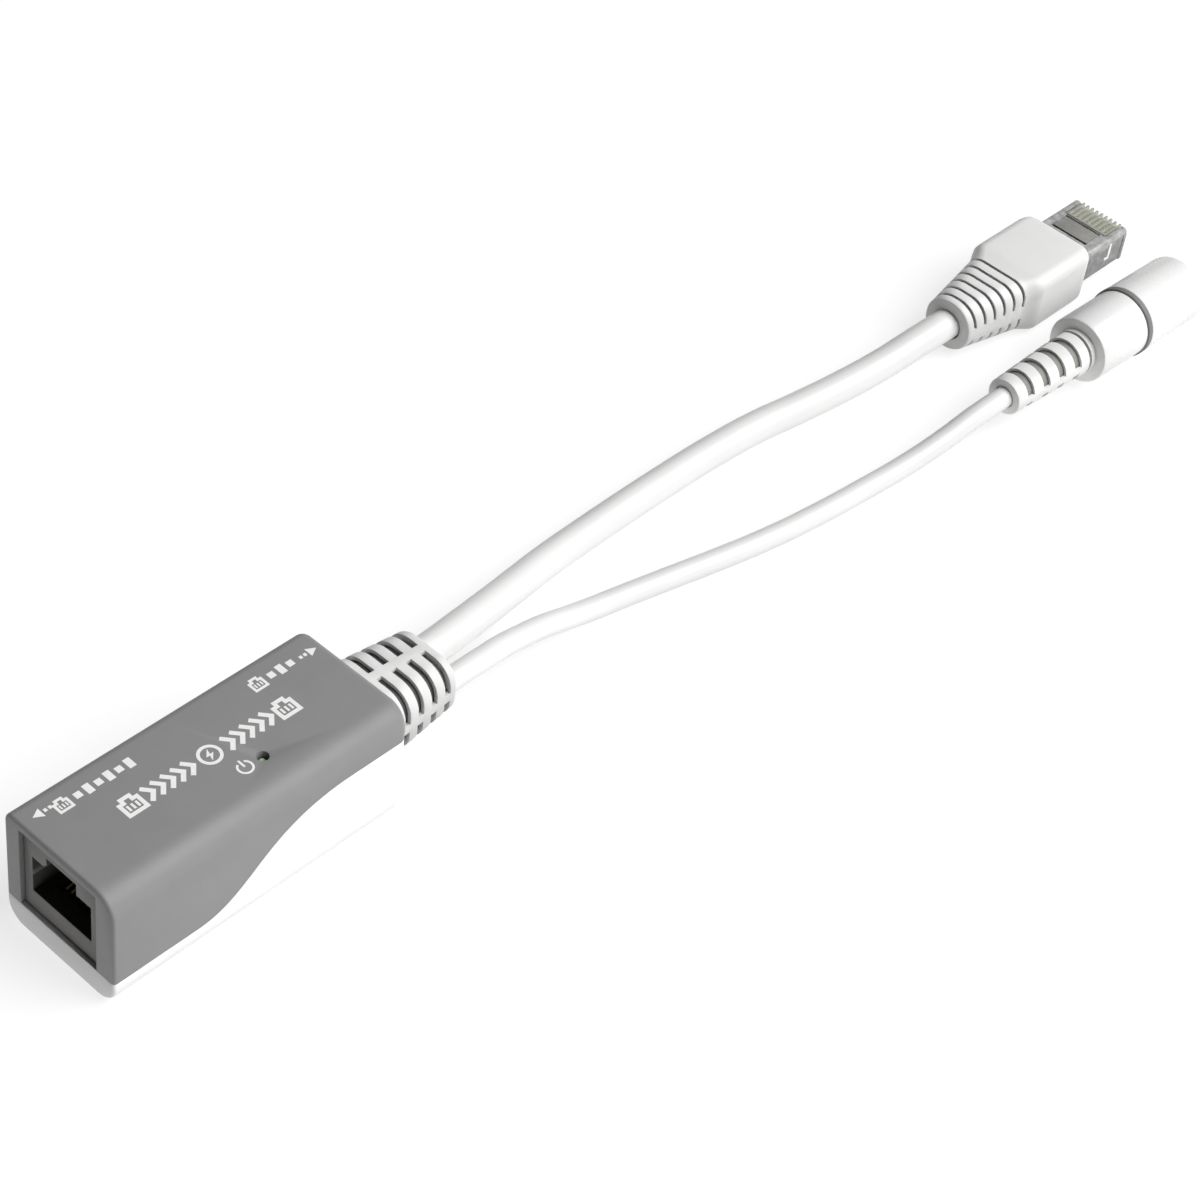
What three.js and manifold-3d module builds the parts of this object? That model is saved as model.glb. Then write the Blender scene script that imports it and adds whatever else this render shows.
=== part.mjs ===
// Passive gigabit PoE injector: a two-shell snap housing with an RJ45 jack, circuit board and magnetics,
// a slotted strain relief, a network lead with a shielded RJ45 plug and a DC lead with a barrel socket.
// Millimetres, +Z up. The origin is the centre of the housing's underside, and +X points along the leads.
import * as THREE from "three";
import { mergeVertices } from "three/addons/utils/BufferGeometryUtils.js";
import Module from "manifold-3d";

const wasm = await Module();
wasm.setup();

// ---------- driving dimensions ----------
const GAP = 0.3; // clearance between neighbouring pieces

const HOUSING = { front: -26.25, rear: 27.1, width: 22, height: 20.8, wall: 1.6, frontWall: 1.2 };
const FRONT = HOUSING.front;
const REAR = HOUSING.rear;
// Section corner radii. Seen along +X the near side is -Y: its top edge is rounder than the far one.
const CORNER = { bottom: 3.4, nearTop: 3.8, farTop: 1.8 };
const FRONT_LIP = 0.5;
const REAR_ROUNDING = 1.5;

// The parting line between the shells runs low at the jack and climbs in an S to the strain relief.
const PARTING = {
  front: 4.65, rear: 15.35, climbStart: -11.75, climbEnd: 15.75, lowPull: 10, highPull: 16.5,
};

const SNAP_HOOK = { x: 17, halfLength: 2, thickness: 1, below: 2.6, above: 2.5 };
const BOARD_POST = { radius: 1.6, y: 6, xs: [-20, 16] };

// The jack sits a little to the far side of the housing's middle.
const JACK = { width: 15, y: 0.3, bottom: 4.9, top: 18.9, length: 15.9, face: FRONT + 0.7 };
const SOCKET = { width: 11.9, bottom: 8.4, top: 15.1, keyWidth: 6, keyTop: 17.2, depth: 12.9 };
const POLES = 8;
const POLE_PITCH = 1.016;
const BLADE = { width: 0.4, rootX: FRONT + 4.7, rootZ: 7.6, tipX: FRONT + 12.4, tipZ: 9.9 };
const CARRIER = { halfWidth: 4.8, bottom: 5.6 };

const BOARD = { front: FRONT + 2.2, rear: 20, width: 17.4, bottom: 3, top: 4.4 };
const LED = {
  x: 5.55, y: -4, radius: 1.5, holeRadius: 0.95, base: 15.2, top: 18.4, tip: 19.9, legSpacing: 2.54,
};

const TRANSFORMER = { x: [-5, 8.5], y: [-1.4, 7.4], height: 6, standoff: 0.6 };
const TRANSFORMER_LEADS = { xs: [-3.5, -0.25, 3, 6.25], width: 0.8, reach: 0.7, height: 1.2 };
const RESISTOR = { x: [-0.6, 2.6], y: [-5.2, -3.6], height: 0.7 };
const CAPACITOR = { x: 14.2, y: -4.2, radius: 3.1, height: 7.2, baseHalf: 3.2, baseHeight: 0.8 };
const FUSE = { x: [10.8, 15.6], y: [1.2, 4.6], height: 1.3 };
const DIODE = { x: [-6.4, -2], y: [-7.4, -4.6], height: 2.1 };

const RELIEF = {
  length: 14.95, y: 0.7, axisZ: 10, wall: 1.25, endWall: 1.6, flange: 0.9, cornerRadius: 3.9,
  rootWidth: 14.8, rootHeight: 12.1, endWidth: 12.4, endHeight: 10.2,
};
const RELIEF_SLOTS = { count: 4, first: 4.15, pitch: 2.88, width: 1.2, rib: 1.5 };

const NETWORK_LEAD = { diameter: 5.4 };
const DC_LEAD = { diameter: 3.7 };
const PAIR_WIRE = { diameter: 1.7, firstY: 7, pitch: 2.3 };
const DC_WIRE = { diameter: 1.5, positiveY: -3.2, negativeY: -5.6 };

// The plug and the DC socket lie at the ends of their leads, turned by a yaw in degrees.
const PLUG = { x: 201.6, y: 4.8, yaw: 0, width: 11.68, bottom: 1.9, top: 8.5, rear: -9.2, nose: 14 };
const PLUG_SLOT = { width: 0.62, below: 3.7, from: 0.7 }; // one slot for each blade, down from the top
const PLUG_CAVITY = { halfWidth: 4.4, low: 4.8, high: 1.8, end: -1.2 }; // heights are below the plug's top
const PLUG_BLADE = { width: 0.3, low: 3.4, shoulder: 1.2, crest: 0.65, from: 1, crestFrom: 1.7 };
const SHIELD = { wall: 0.35, rear: -7.5, windowRear: 8.3, windowHalf: 4.5, front: 13.4, undersideHalf: 3.6 };
const SHIELD_SLOT = { from: 3.5, to: 4.3, near: -3.6, far: 3.9 };
const BOOT = { width: 15.4, height: 11.2, block: 14.5, length: 30.75, axisZ: 5.65, collarRadius: 4.75 };
const BOOT_TAPER = { end: -17.2, width: 12.8, height: 10.6 };
const BOOT_GROOVES = { count: 6, first: -29.1, pitch: 2.26, width: 0.6, depth: 0.65, rib: [4.15, 6.7] };
const LATCH = {
  pivotX: 12, pivotZ: 1.15, tailX: -3.4, drop: 0.7, wideFrom: 4.4, narrowTo: 3, wideHalf: 3.1, tabHalf: 1.6,
  rootHalf: 0.45, tailHalf: 0.35,
};

const DC = { x: 182, y: -14.7, yaw: -1.5, axisZ: 6.5 };
const DC_RADII = { rear: 6.0, ring: 6.3, front: 6.25, frontEnd: 6.15, spigot: 4.3, edge: 0.5 };
const DC_LENGTHS = { rear: 11.7, ring: 1.0, front: 14.9, relief: 20 };
const DC_TAPER = { thin: 3.3, thick: 4.05, wall: 0.9, endWall: 1.2 };
const DC_SLOTS = { count: 4, first: -16.8, pitch: 4.05, width: 1.7, rib: 1.3 };
const DC_NECK_GROOVE = { radius: 3.55, from: -1.65, to: -1.05 };
const DC_BORE = { radius: 2.9, depth: 9.6, pinRadius: 1.03 };

// Routes of the two leads: straight out of the relief, down to the surface, along it and up to the plug.
const NETWORK_ROUTE = [
  [42.35, 3.1, 10], [46, 3.25, 9.95], [51, 4.1, 9.1], [57, 5.4, 7.7], [63.5, 6.9, 6.1], [70, 8.4, 4.6],
  [76, 9.6, 3.5], [82, 10.3, 2.9], [88, 10.6, 2.75], [96, 10.8, 2.75], [106, 10.9, 2.75],
  [116.5, 10.8, 2.75], [127, 10.2, 2.75], [137, 8.8, 2.8], [147, 7.3, 3.3], [156, 6.1, 4.2],
  [163, 5.4, 5.2], [170.5, 5, 5.65],
];
const DC_ROUTE = [
  [42.35, -3.2, 10], [45.5, -3.1, 9.95], [50, -2.5, 9], [55, -1.7, 7.7], [60, -1.2, 6.3], [65.5, -0.9, 4.8],
  [71, -1.0, 3.2], [76, -1.5, 2.3], [81.5, -2.4, 1.95], [90.5, -4.4, 1.9], [100, -6.6, 1.9],
  [109.5, -8.5, 1.9], [119.5, -9.9, 1.9], [130, -10.9, 1.95], [139, -11.9, 2.5], [147, -13, 4.1],
  [155, -13.8, 5.95], [161.7, -14.17, 6.5],
];

// ---------- materials ----------
const finish = (color, roughness, metalness) => (
  new THREE.MeshStandardMaterial({ color, roughness, metalness })
);
const plastic = (color, roughness = 0.5) => finish(color, roughness, 0);
const metal = (color, roughness = 0.3) => finish(color, roughness, 1);
const FINISH = {
  cover: plastic(0x86878a),
  tray: plastic(0xf2f2f1),
  jack: plastic(0x55565a, 0.6),
  carrier: plastic(0x2b2b2e, 0.6),
  soft: plastic(0xefefef, 0.6),
  dark: plastic(0x4a4a4c, 0.7),
  board: plastic(0x1f5a37, 0.45),
  part: plastic(0x1d1d1f, 0.5),
  lamp: plastic(0x9fd4a2, 0.2),
  clear: plastic(0xd9dcdc, 0.2),
  steel: metal(0xb4b5b8),
  gold: metal(0xd9b25c, 0.25),
  copper: metal(0xb87a4b, 0.35),
};
const PAIR_COLOURS = [0xd9772b, 0x2f8a4a, 0x2b62b4, 0x7a4a2c];

// ---------- solids ----------
/** Turns a closed three.js geometry into a solid that can be joined and cut. */
function solid(geometry) {
  const bare = geometry.index ? geometry.toNonIndexed() : geometry.clone();
  bare.deleteAttribute("normal");
  bare.deleteAttribute("uv");
  const merged = mergeVertices(bare, 1e-4);
  return new wasm.Manifold(new wasm.Mesh({
    numProp: 3,
    vertProperties: merged.attributes.position.array,
    triVerts: new Uint32Array(merged.index.array),
  }));
}

/** Turns a solid back into a three.js geometry. */
function geometryOf(body) {
  const mesh = body.getMesh();
  const geometry = new THREE.BufferGeometry();
  geometry.setAttribute("position", new THREE.BufferAttribute(new Float32Array(mesh.vertProperties), 3));
  geometry.setIndex(new THREE.BufferAttribute(new Uint32Array(mesh.triVerts), 1));
  return geometry;
}

const join = (first, ...rest) => rest.reduce((a, b) => a.add(b), first);
const cut = (first, ...rest) => rest.reduce((a, b) => a.subtract(b), first);

function box(x, y, z) {
  const geometry = new THREE.BoxGeometry(x[1] - x[0], y[1] - y[0], z[1] - z[0]);
  return solid(geometry.translate((x[0] + x[1]) / 2, (y[0] + y[1]) / 2, (z[0] + z[1]) / 2));
}

/** A cylinder or cone along X (default) or Z. */
function rod(radius, from, to, { y = 0, z = 0, x = 0, axis = "x", sides = 24, endRadius = radius } = {}) {
  const geometry = new THREE.CylinderGeometry(endRadius, radius, to - from, sides);
  const middle = (from + to) / 2;
  if (axis === "x") return solid(geometry.rotateZ(-Math.PI / 2).translate(middle, y, z));
  return solid(geometry.rotateX(Math.PI / 2).translate(x, y, middle));
}

/** A closed outline in the XY plane of a shape, extruded along the named axis of the part. */
function prism(shape, axis, from, to) {
  const geometry = new THREE.ExtrudeGeometry(shape, { depth: to - from, bevelEnabled: false });
  if (axis === "z") geometry.translate(0, 0, from);
  if (axis === "y") geometry.rotateX(Math.PI / 2).translate(0, to, 0);
  if (axis === "x") geometry.rotateX(Math.PI / 2).rotateZ(Math.PI / 2).translate(from, 0, 0);
  return solid(geometry);
}

/**
 * Corner points of a rectangle with rounded corners, in (y, z). The radii run from the -Y bottom corner
 * round by the +Y bottom and +Y top to the -Y top corner.
 */
function roundedSection(width, bottom, top, radii, steps = 4) {
  const half = width / 2;
  const corners = [
    [-half + radii[0], bottom + radii[0], radii[0], Math.PI],
    [half - radii[1], bottom + radii[1], radii[1], 1.5 * Math.PI],
    [half - radii[2], top - radii[2], radii[2], 0],
    [-half + radii[3], top - radii[3], radii[3], 0.5 * Math.PI],
  ];
  return corners.flatMap(([y, z, r, start]) => Array.from({ length: steps + 1 }, (_, i) => {
    const angle = start + (i / steps) * (Math.PI / 2);
    return [y + r * Math.cos(angle), z + r * Math.sin(angle)];
  }));
}

/** A solid through sections of equal point count, each {x, points: [[y, z], ...]}, with flat ends. */
function loft(sections) {
  const count = sections[0].points.length;
  const positions = sections.flatMap(({ x, points }) => points.flatMap(([y, z]) => [x, y, z]));
  const index = [];
  for (let s = 0; s < sections.length - 1; s++) {
    for (let i = 0; i < count; i++) {
      const next = (i + 1) % count;
      const [a, b, c, d] = [s * count + i, s * count + next, (s + 1) * count + i, (s + 1) * count + next];
      index.push(a, b, d, a, d, c);
    }
  }
  const lastRing = (sections.length - 1) * count;
  for (let i = 1; i < count - 1; i++) {
    index.push(0, i + 1, i);
    index.push(lastRing, lastRing + i, lastRing + i + 1);
  }
  const geometry = new THREE.BufferGeometry();
  geometry.setAttribute("position", new THREE.Float32BufferAttribute(positions, 3));
  geometry.setIndex(index);
  return solid(geometry);
}

/** A round tube of the given diameter along a smooth curve through the points. */
function tube(points, diameter, sides, steps) {
  const curve = new THREE.CatmullRomCurve3(points.map((p) => new THREE.Vector3(...p)), false, "centripetal");
  const section = new THREE.Shape();
  for (let i = 0; i < sides; i++) {
    const angle = (i / sides) * 2 * Math.PI;
    const point = [(diameter / 2) * Math.cos(angle), (diameter / 2) * Math.sin(angle)];
    if (i === 0) section.moveTo(...point);
    else section.lineTo(...point);
  }
  return solid(new THREE.ExtrudeGeometry(section, { steps, extrudePath: curve, bevelEnabled: false }));
}

function outline(points) {
  return new THREE.Shape(points.map(([x, y]) => new THREE.Vector2(x, y)));
}

// ---------- scene graph ----------
const group = new THREE.Group();
const plugGroup = new THREE.Group();
plugGroup.position.set(PLUG.x, PLUG.y, 0);
plugGroup.rotation.z = THREE.MathUtils.degToRad(PLUG.yaw);
const dcGroup = new THREE.Group();
dcGroup.position.set(DC.x, DC.y, DC.axisZ);
dcGroup.rotation.z = THREE.MathUtils.degToRad(DC.yaw);
group.add(plugGroup, dcGroup);

function add(name, body, material, parent = group) {
  const mesh = new THREE.Mesh(geometryOf(body), material.clone());
  mesh.name = name;
  parent.add(mesh);
}

// ---------- housing shells ----------
/** The housing's outer form, or its cavity when inset by the wall. */
function housingForm(inset, from, to) {
  const section = (x, extra = 0) => {
    const e = inset + extra;
    const { bottom, farTop, nearTop } = CORNER;
    const radii = [bottom, bottom, farTop, nearTop].map((r) => Math.max(r - e, 0.6));
    return { x, points: roundedSection(HOUSING.width - 2 * e, e, HOUSING.height - e, radii) };
  };
  if (inset) return loft([section(from), section(to)]);
  const round = REAR_ROUNDING;
  return loft([
    section(from, FRONT_LIP), section(from + FRONT_LIP), section(to - round),
    section(to - 0.5 * round, 0.13 * round), section(to - 0.13 * round, 0.5 * round), section(to, round),
  ]);
}

/** Everything above (or below) the parting line, moved by shift. */
function partingBlock(above, shift) {
  const climb = new THREE.CubicBezierCurve(
    new THREE.Vector2(PARTING.climbStart, PARTING.front),
    new THREE.Vector2(PARTING.climbStart + PARTING.lowPull, PARTING.front),
    new THREE.Vector2(PARTING.climbEnd - PARTING.highPull, PARTING.rear),
    new THREE.Vector2(PARTING.climbEnd, PARTING.rear),
  );
  const line = climb.getPoints(10).map(({ x, y }) => [x, y + shift]);
  const limit = above ? HOUSING.height + 5 : -5;
  const ends = { left: FRONT - 5, right: REAR + 5 };
  const points = [
    [ends.left, PARTING.front + shift], ...line, [ends.right, PARTING.rear + shift],
    [ends.right, limit], [ends.left, limit],
  ];
  return prism(outline(points), "y", -HOUSING.width, HOUSING.width);
}

function reliefForm(grow, from, to) {
  const at = (x) => {
    const t = (x - REAR) / RELIEF.length;
    const width = THREE.MathUtils.lerp(RELIEF.rootWidth, RELIEF.endWidth, t) + 2 * grow;
    const height = THREE.MathUtils.lerp(RELIEF.rootHeight, RELIEF.endHeight, t) + 2 * grow;
    const radii = Array(4).fill(RELIEF.cornerRadius + grow);
    const section = roundedSection(width, RELIEF.axisZ - height / 2, RELIEF.axisZ + height / 2, radii);
    return { x, points: section.map(([y, z]) => [y + RELIEF.y, z]) };
  };
  return loft([at(from), at(to)]);
}

const outer = housingForm(0, FRONT, REAR);
const cavity = housingForm(HOUSING.wall, FRONT + HOUSING.frontWall, REAR - HOUSING.wall);
const shell = cut(outer, cavity, reliefForm(GAP, REAR - 3, REAR + 3));
const jackOpening = box(
  [FRONT - 1, FRONT + HOUSING.frontWall + 0.5],
  [JACK.y - JACK.width / 2 - GAP, JACK.y + JACK.width / 2 + GAP],
  [PARTING.front - 1, JACK.top + GAP],
);
const overLed = { axis: "z", x: LED.x, y: LED.y, sides: 16 };
const ledHole = rod(LED.holeRadius, HOUSING.height - 3, HOUSING.height + 1, overLed);

/** A snap hook that hangs from the cover inside the tray's wall, on the side of the given sign. */
function snapHook(side) {
  const { x, halfLength, thickness, below, above } = SNAP_HOOK;
  const wall = HOUSING.width / 2 - HOUSING.wall;
  const [inner, z] = [wall - GAP, PARTING.rear];
  const along = [x - halfLength, x + halfLength];
  const stem = box(along, [inner - thickness, inner], [z - below, z + above]);
  const bridge = box(along, [inner - thickness, wall + HOUSING.wall / 3], [z + above / 3, z + above]);
  const hook = stem.add(bridge);
  return side > 0 ? hook : hook.mirror([0, 1, 0]);
}
const topCover = join(
  cut(shell.intersect(partingBlock(true, GAP / 2)), jackOpening, ledHole),
  snapHook(1),
  snapHook(-1),
);
add("top_cover", topCover, FINISH.cover);

const posts = BOARD_POST.xs.flatMap((x) => [BOARD_POST.y, -BOARD_POST.y].map((y) => (
  rod(BOARD_POST.radius, HOUSING.wall / 2, BOARD.bottom - GAP, { axis: "z", x, y, sides: 12 })
)));
add("bottom_tray", join(shell.intersect(partingBlock(false, -GAP / 2)), ...posts), FINISH.tray);

// ---------- network jack ----------
const jackFront = JACK.face;
const jackRear = jackFront + JACK.length;
const socketEnd = jackFront + SOCKET.depth;
const aboutJack = (halfWidth) => [JACK.y - halfWidth, JACK.y + halfWidth];
const jackBlock = box([jackFront, jackRear], aboutJack(JACK.width / 2), [JACK.bottom, JACK.top]);
const socketHole = box([jackFront - 1, socketEnd], aboutJack(SOCKET.width / 2), [SOCKET.bottom, SOCKET.top]);
const keyHole = box(
  [jackFront - 1, socketEnd], aboutJack(SOCKET.keyWidth / 2), [SOCKET.top - 1, SOCKET.keyTop],
);
const springWell = box(
  [BLADE.rootX - 1.4, jackRear + 1], aboutJack(CARRIER.halfWidth + GAP),
  [CARRIER.bottom - GAP, SOCKET.bottom + 0.5],
);
add("jack_housing", cut(jackBlock, socketHole, keyHole, springWell), FINISH.jack);

const carrierTop = BLADE.rootZ - BLADE.width / 2 - GAP;
const carrierEnd = jackRear - GAP;
const carrierWidth = aboutJack(CARRIER.halfWidth);
add("jack_contact_carrier", join(
  box([BLADE.rootX + 1, carrierEnd], carrierWidth, [CARRIER.bottom, carrierTop]),
  box([socketEnd + 0.4, carrierEnd], carrierWidth, [CARRIER.bottom, SOCKET.bottom - 0.1]),
), FINISH.carrier);

/** One contact spring: a curled root in the well and a blade that slants up into the socket. */
function contactSpring(y) {
  const { rootX, rootZ, tipX, tipZ } = BLADE;
  const half = BLADE.width / 2;
  const points = [
    [rootX + 1.3, rootZ - half], [rootX + 1.3, rootZ + half - 0.15], [rootX + 0.9, rootZ + half],
    [tipX, tipZ], [tipX - 0.15, tipZ + 0.4],
    [rootX - 0.35, rootZ + 0.35], [rootX - 0.55, rootZ], [rootX - 0.3, rootZ - half],
  ];
  return prism(outline(points), "y", y - half, y + half);
}
const poleOffset = (i) => (i - (POLES - 1) / 2) * POLE_PITCH;
for (let i = 0; i < POLES; i++) {
  add(`jack_contact_${i + 1}`, contactSpring(JACK.y + poleOffset(i)), FINISH.gold);
}

// ---------- circuit board and its parts ----------
const onBoard = BOARD.top + GAP;
const boardHalf = BOARD.width / 2;
add("circuit_board", box([BOARD.front, BOARD.rear], [-boardHalf, boardHalf], [BOARD.bottom, BOARD.top]),
  FINISH.board);
/** A flat part that stands on the board. */
const boardPart = ({ x, y, height }) => box(x, y, [onBoard, onBoard + height]);
const { xs: leadXs, width: leadWidth, reach, height: leadHeight } = TRANSFORMER_LEADS;
add("lan_transformer", join(
  box(TRANSFORMER.x, TRANSFORMER.y, [onBoard + TRANSFORMER.standoff, onBoard + TRANSFORMER.height]),
  ...leadXs.map((x) => boardPart({
    x: [x, x + leadWidth], y: [TRANSFORMER.y[0] - reach, TRANSFORMER.y[1] + reach], height: leadHeight,
  })),
), FINISH.part);
add("power_led", join(
  rod(LED.radius, LED.base, LED.top, overLed),
  rod(LED.holeRadius - 0.25, LED.top - 0.4, LED.tip, { ...overLed, endRadius: 0.45 }),
  ...[-1, 1].map((side) => {
    const x = LED.x + side * LED.legSpacing / 2;
    return box([x - 0.25, x + 0.25], [LED.y - 0.25, LED.y + 0.25], [onBoard, LED.base + 0.2]);
  }),
), FINISH.lamp);
add("led_resistor", boardPart(RESISTOR), FINISH.part);
const { x: canX, y: canY, radius: canRadius, baseHalf, baseHeight } = CAPACITOR;
add("input_capacitor", join(
  boardPart({
    x: [canX - baseHalf, canX + baseHalf], y: [canY - baseHalf, canY + baseHalf], height: baseHeight,
  }),
  rod(canRadius, onBoard + 0.5, onBoard + CAPACITOR.height, { axis: "z", x: canX, y: canY, sides: 20 }),
), FINISH.steel);
add("resettable_fuse", boardPart(FUSE), FINISH.dark);
add("blocking_diode", boardPart(DIODE), FINISH.part);

// ---------- strain relief and wires inside the housing ----------
const reliefEnd = REAR + RELIEF.length;
const reliefRoot = REAR - HOUSING.wall - GAP;
const flangeStart = reliefRoot - RELIEF.flange;
const sleeveOuter = join(
  reliefForm(0, flangeStart + 0.4, reliefEnd),
  reliefForm(RELIEF.flange, flangeStart, reliefRoot),
);
const sleeveInner = reliefForm(-RELIEF.wall, flangeStart - 2, reliefEnd - RELIEF.endWall);
const halfRib = RELIEF_SLOTS.rib / 2;
const ribs = join(
  box([REAR, reliefEnd], [RELIEF.y - halfRib, RELIEF.y + halfRib], [0, 20]),
  box([REAR, reliefEnd], [-12, 12], [RELIEF.axisZ - halfRib, RELIEF.axisZ + halfRib]),
);
const slots = Array.from({ length: RELIEF_SLOTS.count }, (_, i) => {
  const x = REAR + RELIEF_SLOTS.first + i * RELIEF_SLOTS.pitch;
  return cut(box([x - RELIEF_SLOTS.width / 2, x + RELIEF_SLOTS.width / 2], [-10, 10], [1, 19]), ribs);
});
add("strain_relief", cut(sleeveOuter, sleeveInner, ...slots), FINISH.soft);
const reliefCore = reliefForm(-RELIEF.wall - GAP, reliefRoot - 0.5, reliefEnd - RELIEF.endWall - GAP);
add("relief_core", reliefCore, FINISH.dark);

/** An insulated wire from the leads' end down to the board; the wires spread out a little on the way. */
function innerWire(y, diameter) {
  const start = flangeStart - 1.5 * GAP;
  const points = [
    [start, y * 0.82, 8.6], [start - 1.2, y * 0.83, 8.3],
    [BOARD.rear - 0.6, y * 0.96, 6.6], [BOARD.rear - 1.1, y, onBoard],
  ];
  return tube(points, diameter, 8, 8);
}
PAIR_COLOURS.forEach((colour, i) => {
  const y = PAIR_WIRE.firstY - PAIR_WIRE.pitch * i;
  add(`network_pair_${i + 1}`, innerWire(y, PAIR_WIRE.diameter), plastic(colour));
});
add("dc_wire_positive", innerWire(DC_WIRE.positiveY, DC_WIRE.diameter), plastic(0xb02a2a));
add("dc_wire_negative", innerWire(DC_WIRE.negativeY, DC_WIRE.diameter), plastic(0x202022));

// ---------- the two leads ----------
add("network_lead", tube(NETWORK_ROUTE, NETWORK_LEAD.diameter, 10, 12 * 5), FINISH.soft);
add("dc_lead", tube(DC_ROUTE, DC_LEAD.diameter, 8, 13 * 5), FINISH.soft);

// ---------- shielded plug, in its own frame: +X to the nose, origin under the boot's front face ----------
const halfPlug = PLUG.width / 2;
const poles = Array.from({ length: POLES }, (_, i) => poleOffset(i));
const bladeSlots = poles.map((y) => box(
  [SHIELD.windowRear + PLUG_SLOT.from, PLUG.nose + 1],
  [y - PLUG_SLOT.width / 2, y + PLUG_SLOT.width / 2],
  [PLUG.top - PLUG_SLOT.below, PLUG.top + 1],
));
const bodyInset = SHIELD.wall + GAP;
const bodyHalf = halfPlug - bodyInset;
const combHalf = SHIELD.windowHalf - GAP;
const cavityHeight = [PLUG.top - PLUG_CAVITY.low, PLUG.top - PLUG_CAVITY.high];
add("plug_body", cut(
  join(
    box([PLUG.rear, PLUG.nose], [-bodyHalf, bodyHalf], [PLUG.bottom + bodyInset, PLUG.top - bodyInset]),
    box([SHIELD.windowRear + GAP, PLUG.nose], [-combHalf, combHalf], [PLUG.top - 1.5, PLUG.top - 0.2]),
  ),
  ...bladeSlots,
  box([PLUG.rear - 1, PLUG_CAVITY.end], [-PLUG_CAVITY.halfWidth, PLUG_CAVITY.halfWidth], cavityHeight),
), FINISH.clear, plugGroup);
add("plug_load_bar", box(
  [PLUG_CAVITY.end - 4.4, PLUG_CAVITY.end - 0.4],
  [GAP - PLUG_CAVITY.halfWidth, PLUG_CAVITY.halfWidth - GAP],
  [cavityHeight[0] + GAP, cavityHeight[1] - GAP],
), FINISH.clear, plugGroup);

const shieldBox = (inset, from, to) => box(
  [from, to], [-halfPlug + inset, halfPlug - inset], [PLUG.bottom + inset, PLUG.top - inset],
);
const throughTop = [PLUG.top - 1, PLUG.top + 1];
const throughUnderside = [PLUG.bottom - 1, PLUG.bottom + 1];
add("plug_shield", cut(
  shieldBox(0, SHIELD.rear, SHIELD.front),
  shieldBox(SHIELD.wall, SHIELD.rear - 1, SHIELD.front + 1),
  box([SHIELD.windowRear, SHIELD.front + 1], [-SHIELD.windowHalf, SHIELD.windowHalf], throughTop),
  box([SHIELD_SLOT.from, SHIELD_SLOT.to], [SHIELD_SLOT.near, SHIELD_SLOT.far], throughTop),
  box([-2, SHIELD.front + 1], [-SHIELD.undersideHalf, SHIELD.undersideHalf], throughUnderside),
), FINISH.steel, plugGroup);

poles.forEach((y, i) => {
  const { width, low, shoulder, crest, from, crestFrom } = PLUG_BLADE;
  const across = [y - width / 2, y + width / 2];
  const { top } = PLUG;
  const blade = join(
    box([SHIELD.windowRear + from, SHIELD.front], across, [top - low, top - shoulder]),
    box([SHIELD.windowRear + crestFrom, SHIELD.front], across, [top - shoulder - 0.2, top - crest]),
  );
  add(`plug_contact_${i + 1}`, blade, FINISH.gold, plugGroup);
});

/** The latch lever: a wide root under the nose and a narrower finger tab that slants down to the boot. */
function latchLever() {
  const { pivotX, pivotZ, tailX, drop, wideFrom, narrowTo, wideHalf, tabHalf, rootHalf, tailHalf } = LATCH;
  const root = pivotX + 0.8;
  const plan = outline([
    [tailX, -tabHalf], [narrowTo, -tabHalf], [wideFrom, -wideHalf], [root, -wideHalf],
    [root, wideHalf], [wideFrom, wideHalf], [narrowTo, tabHalf], [tailX, tabHalf],
  ]);
  const side = outline([
    [root, pivotZ - rootHalf], [root, pivotZ + rootHalf], [pivotX, pivotZ + rootHalf],
    [tailX, pivotZ + tailHalf - drop], [tailX, pivotZ - tailHalf - drop], [pivotX, pivotZ - rootHalf],
  ]);
  return prism(plan, "z", -1, PLUG.top).intersect(prism(side, "y", -halfPlug, halfPlug));
}
add("plug_latch", latchLever(), FINISH.clear, plugGroup);

// Boot sections from the collar round the lead to the open front: [x, width, height, corner radius].
const collar = 2 * BOOT.collarRadius;
const collarEnd = 1 - BOOT.length;
const bootSections = [
  [-BOOT.length, collar - 0.6, collar - 0.6, 4.2], [collarEnd - 0.6, collar, collar, 4.3],
  [collarEnd, collar, collar, 4.1], [BOOT_TAPER.end, BOOT_TAPER.width, BOOT_TAPER.height, 3],
  [-BOOT.block, BOOT.width, BOOT.height, 2.3], [-1.2, BOOT.width, BOOT.height, 2.3],
  [-0.4, BOOT.width - 0.6, BOOT.height - 0.4, 2.1], [0, BOOT.width - 1.4, BOOT.height - 1, 1.9],
];
const bootForm = loft(bootSections.map(([x, width, height, r]) => ({
  x, points: roundedSection(width, BOOT.axisZ - height / 2, BOOT.axisZ + height / 2, Array(4).fill(r), 3),
})));
const bootGrooves = Array.from({ length: BOOT_GROOVES.count }, (_, i) => {
  const { first, pitch, width, depth, rib } = BOOT_GROOVES;
  const x = first + i * pitch;
  const t = THREE.MathUtils.inverseLerp(collarEnd, BOOT_TAPER.end, x);
  const halfWidth = THREE.MathUtils.lerp(collar, BOOT_TAPER.width, t) / 2 - depth;
  const halfHeight = THREE.MathUtils.lerp(collar, BOOT_TAPER.height, t) / 2 - depth;
  return cut(
    box([x - width / 2, x + width / 2], [-9, 9], [-3, 16]),
    box([x - 1, x + 1], [-halfWidth, halfWidth], [BOOT.axisZ - halfHeight, BOOT.axisZ + halfHeight]),
    box([x - 1, x + 1], [-9, 9], rib),
  );
});
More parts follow.
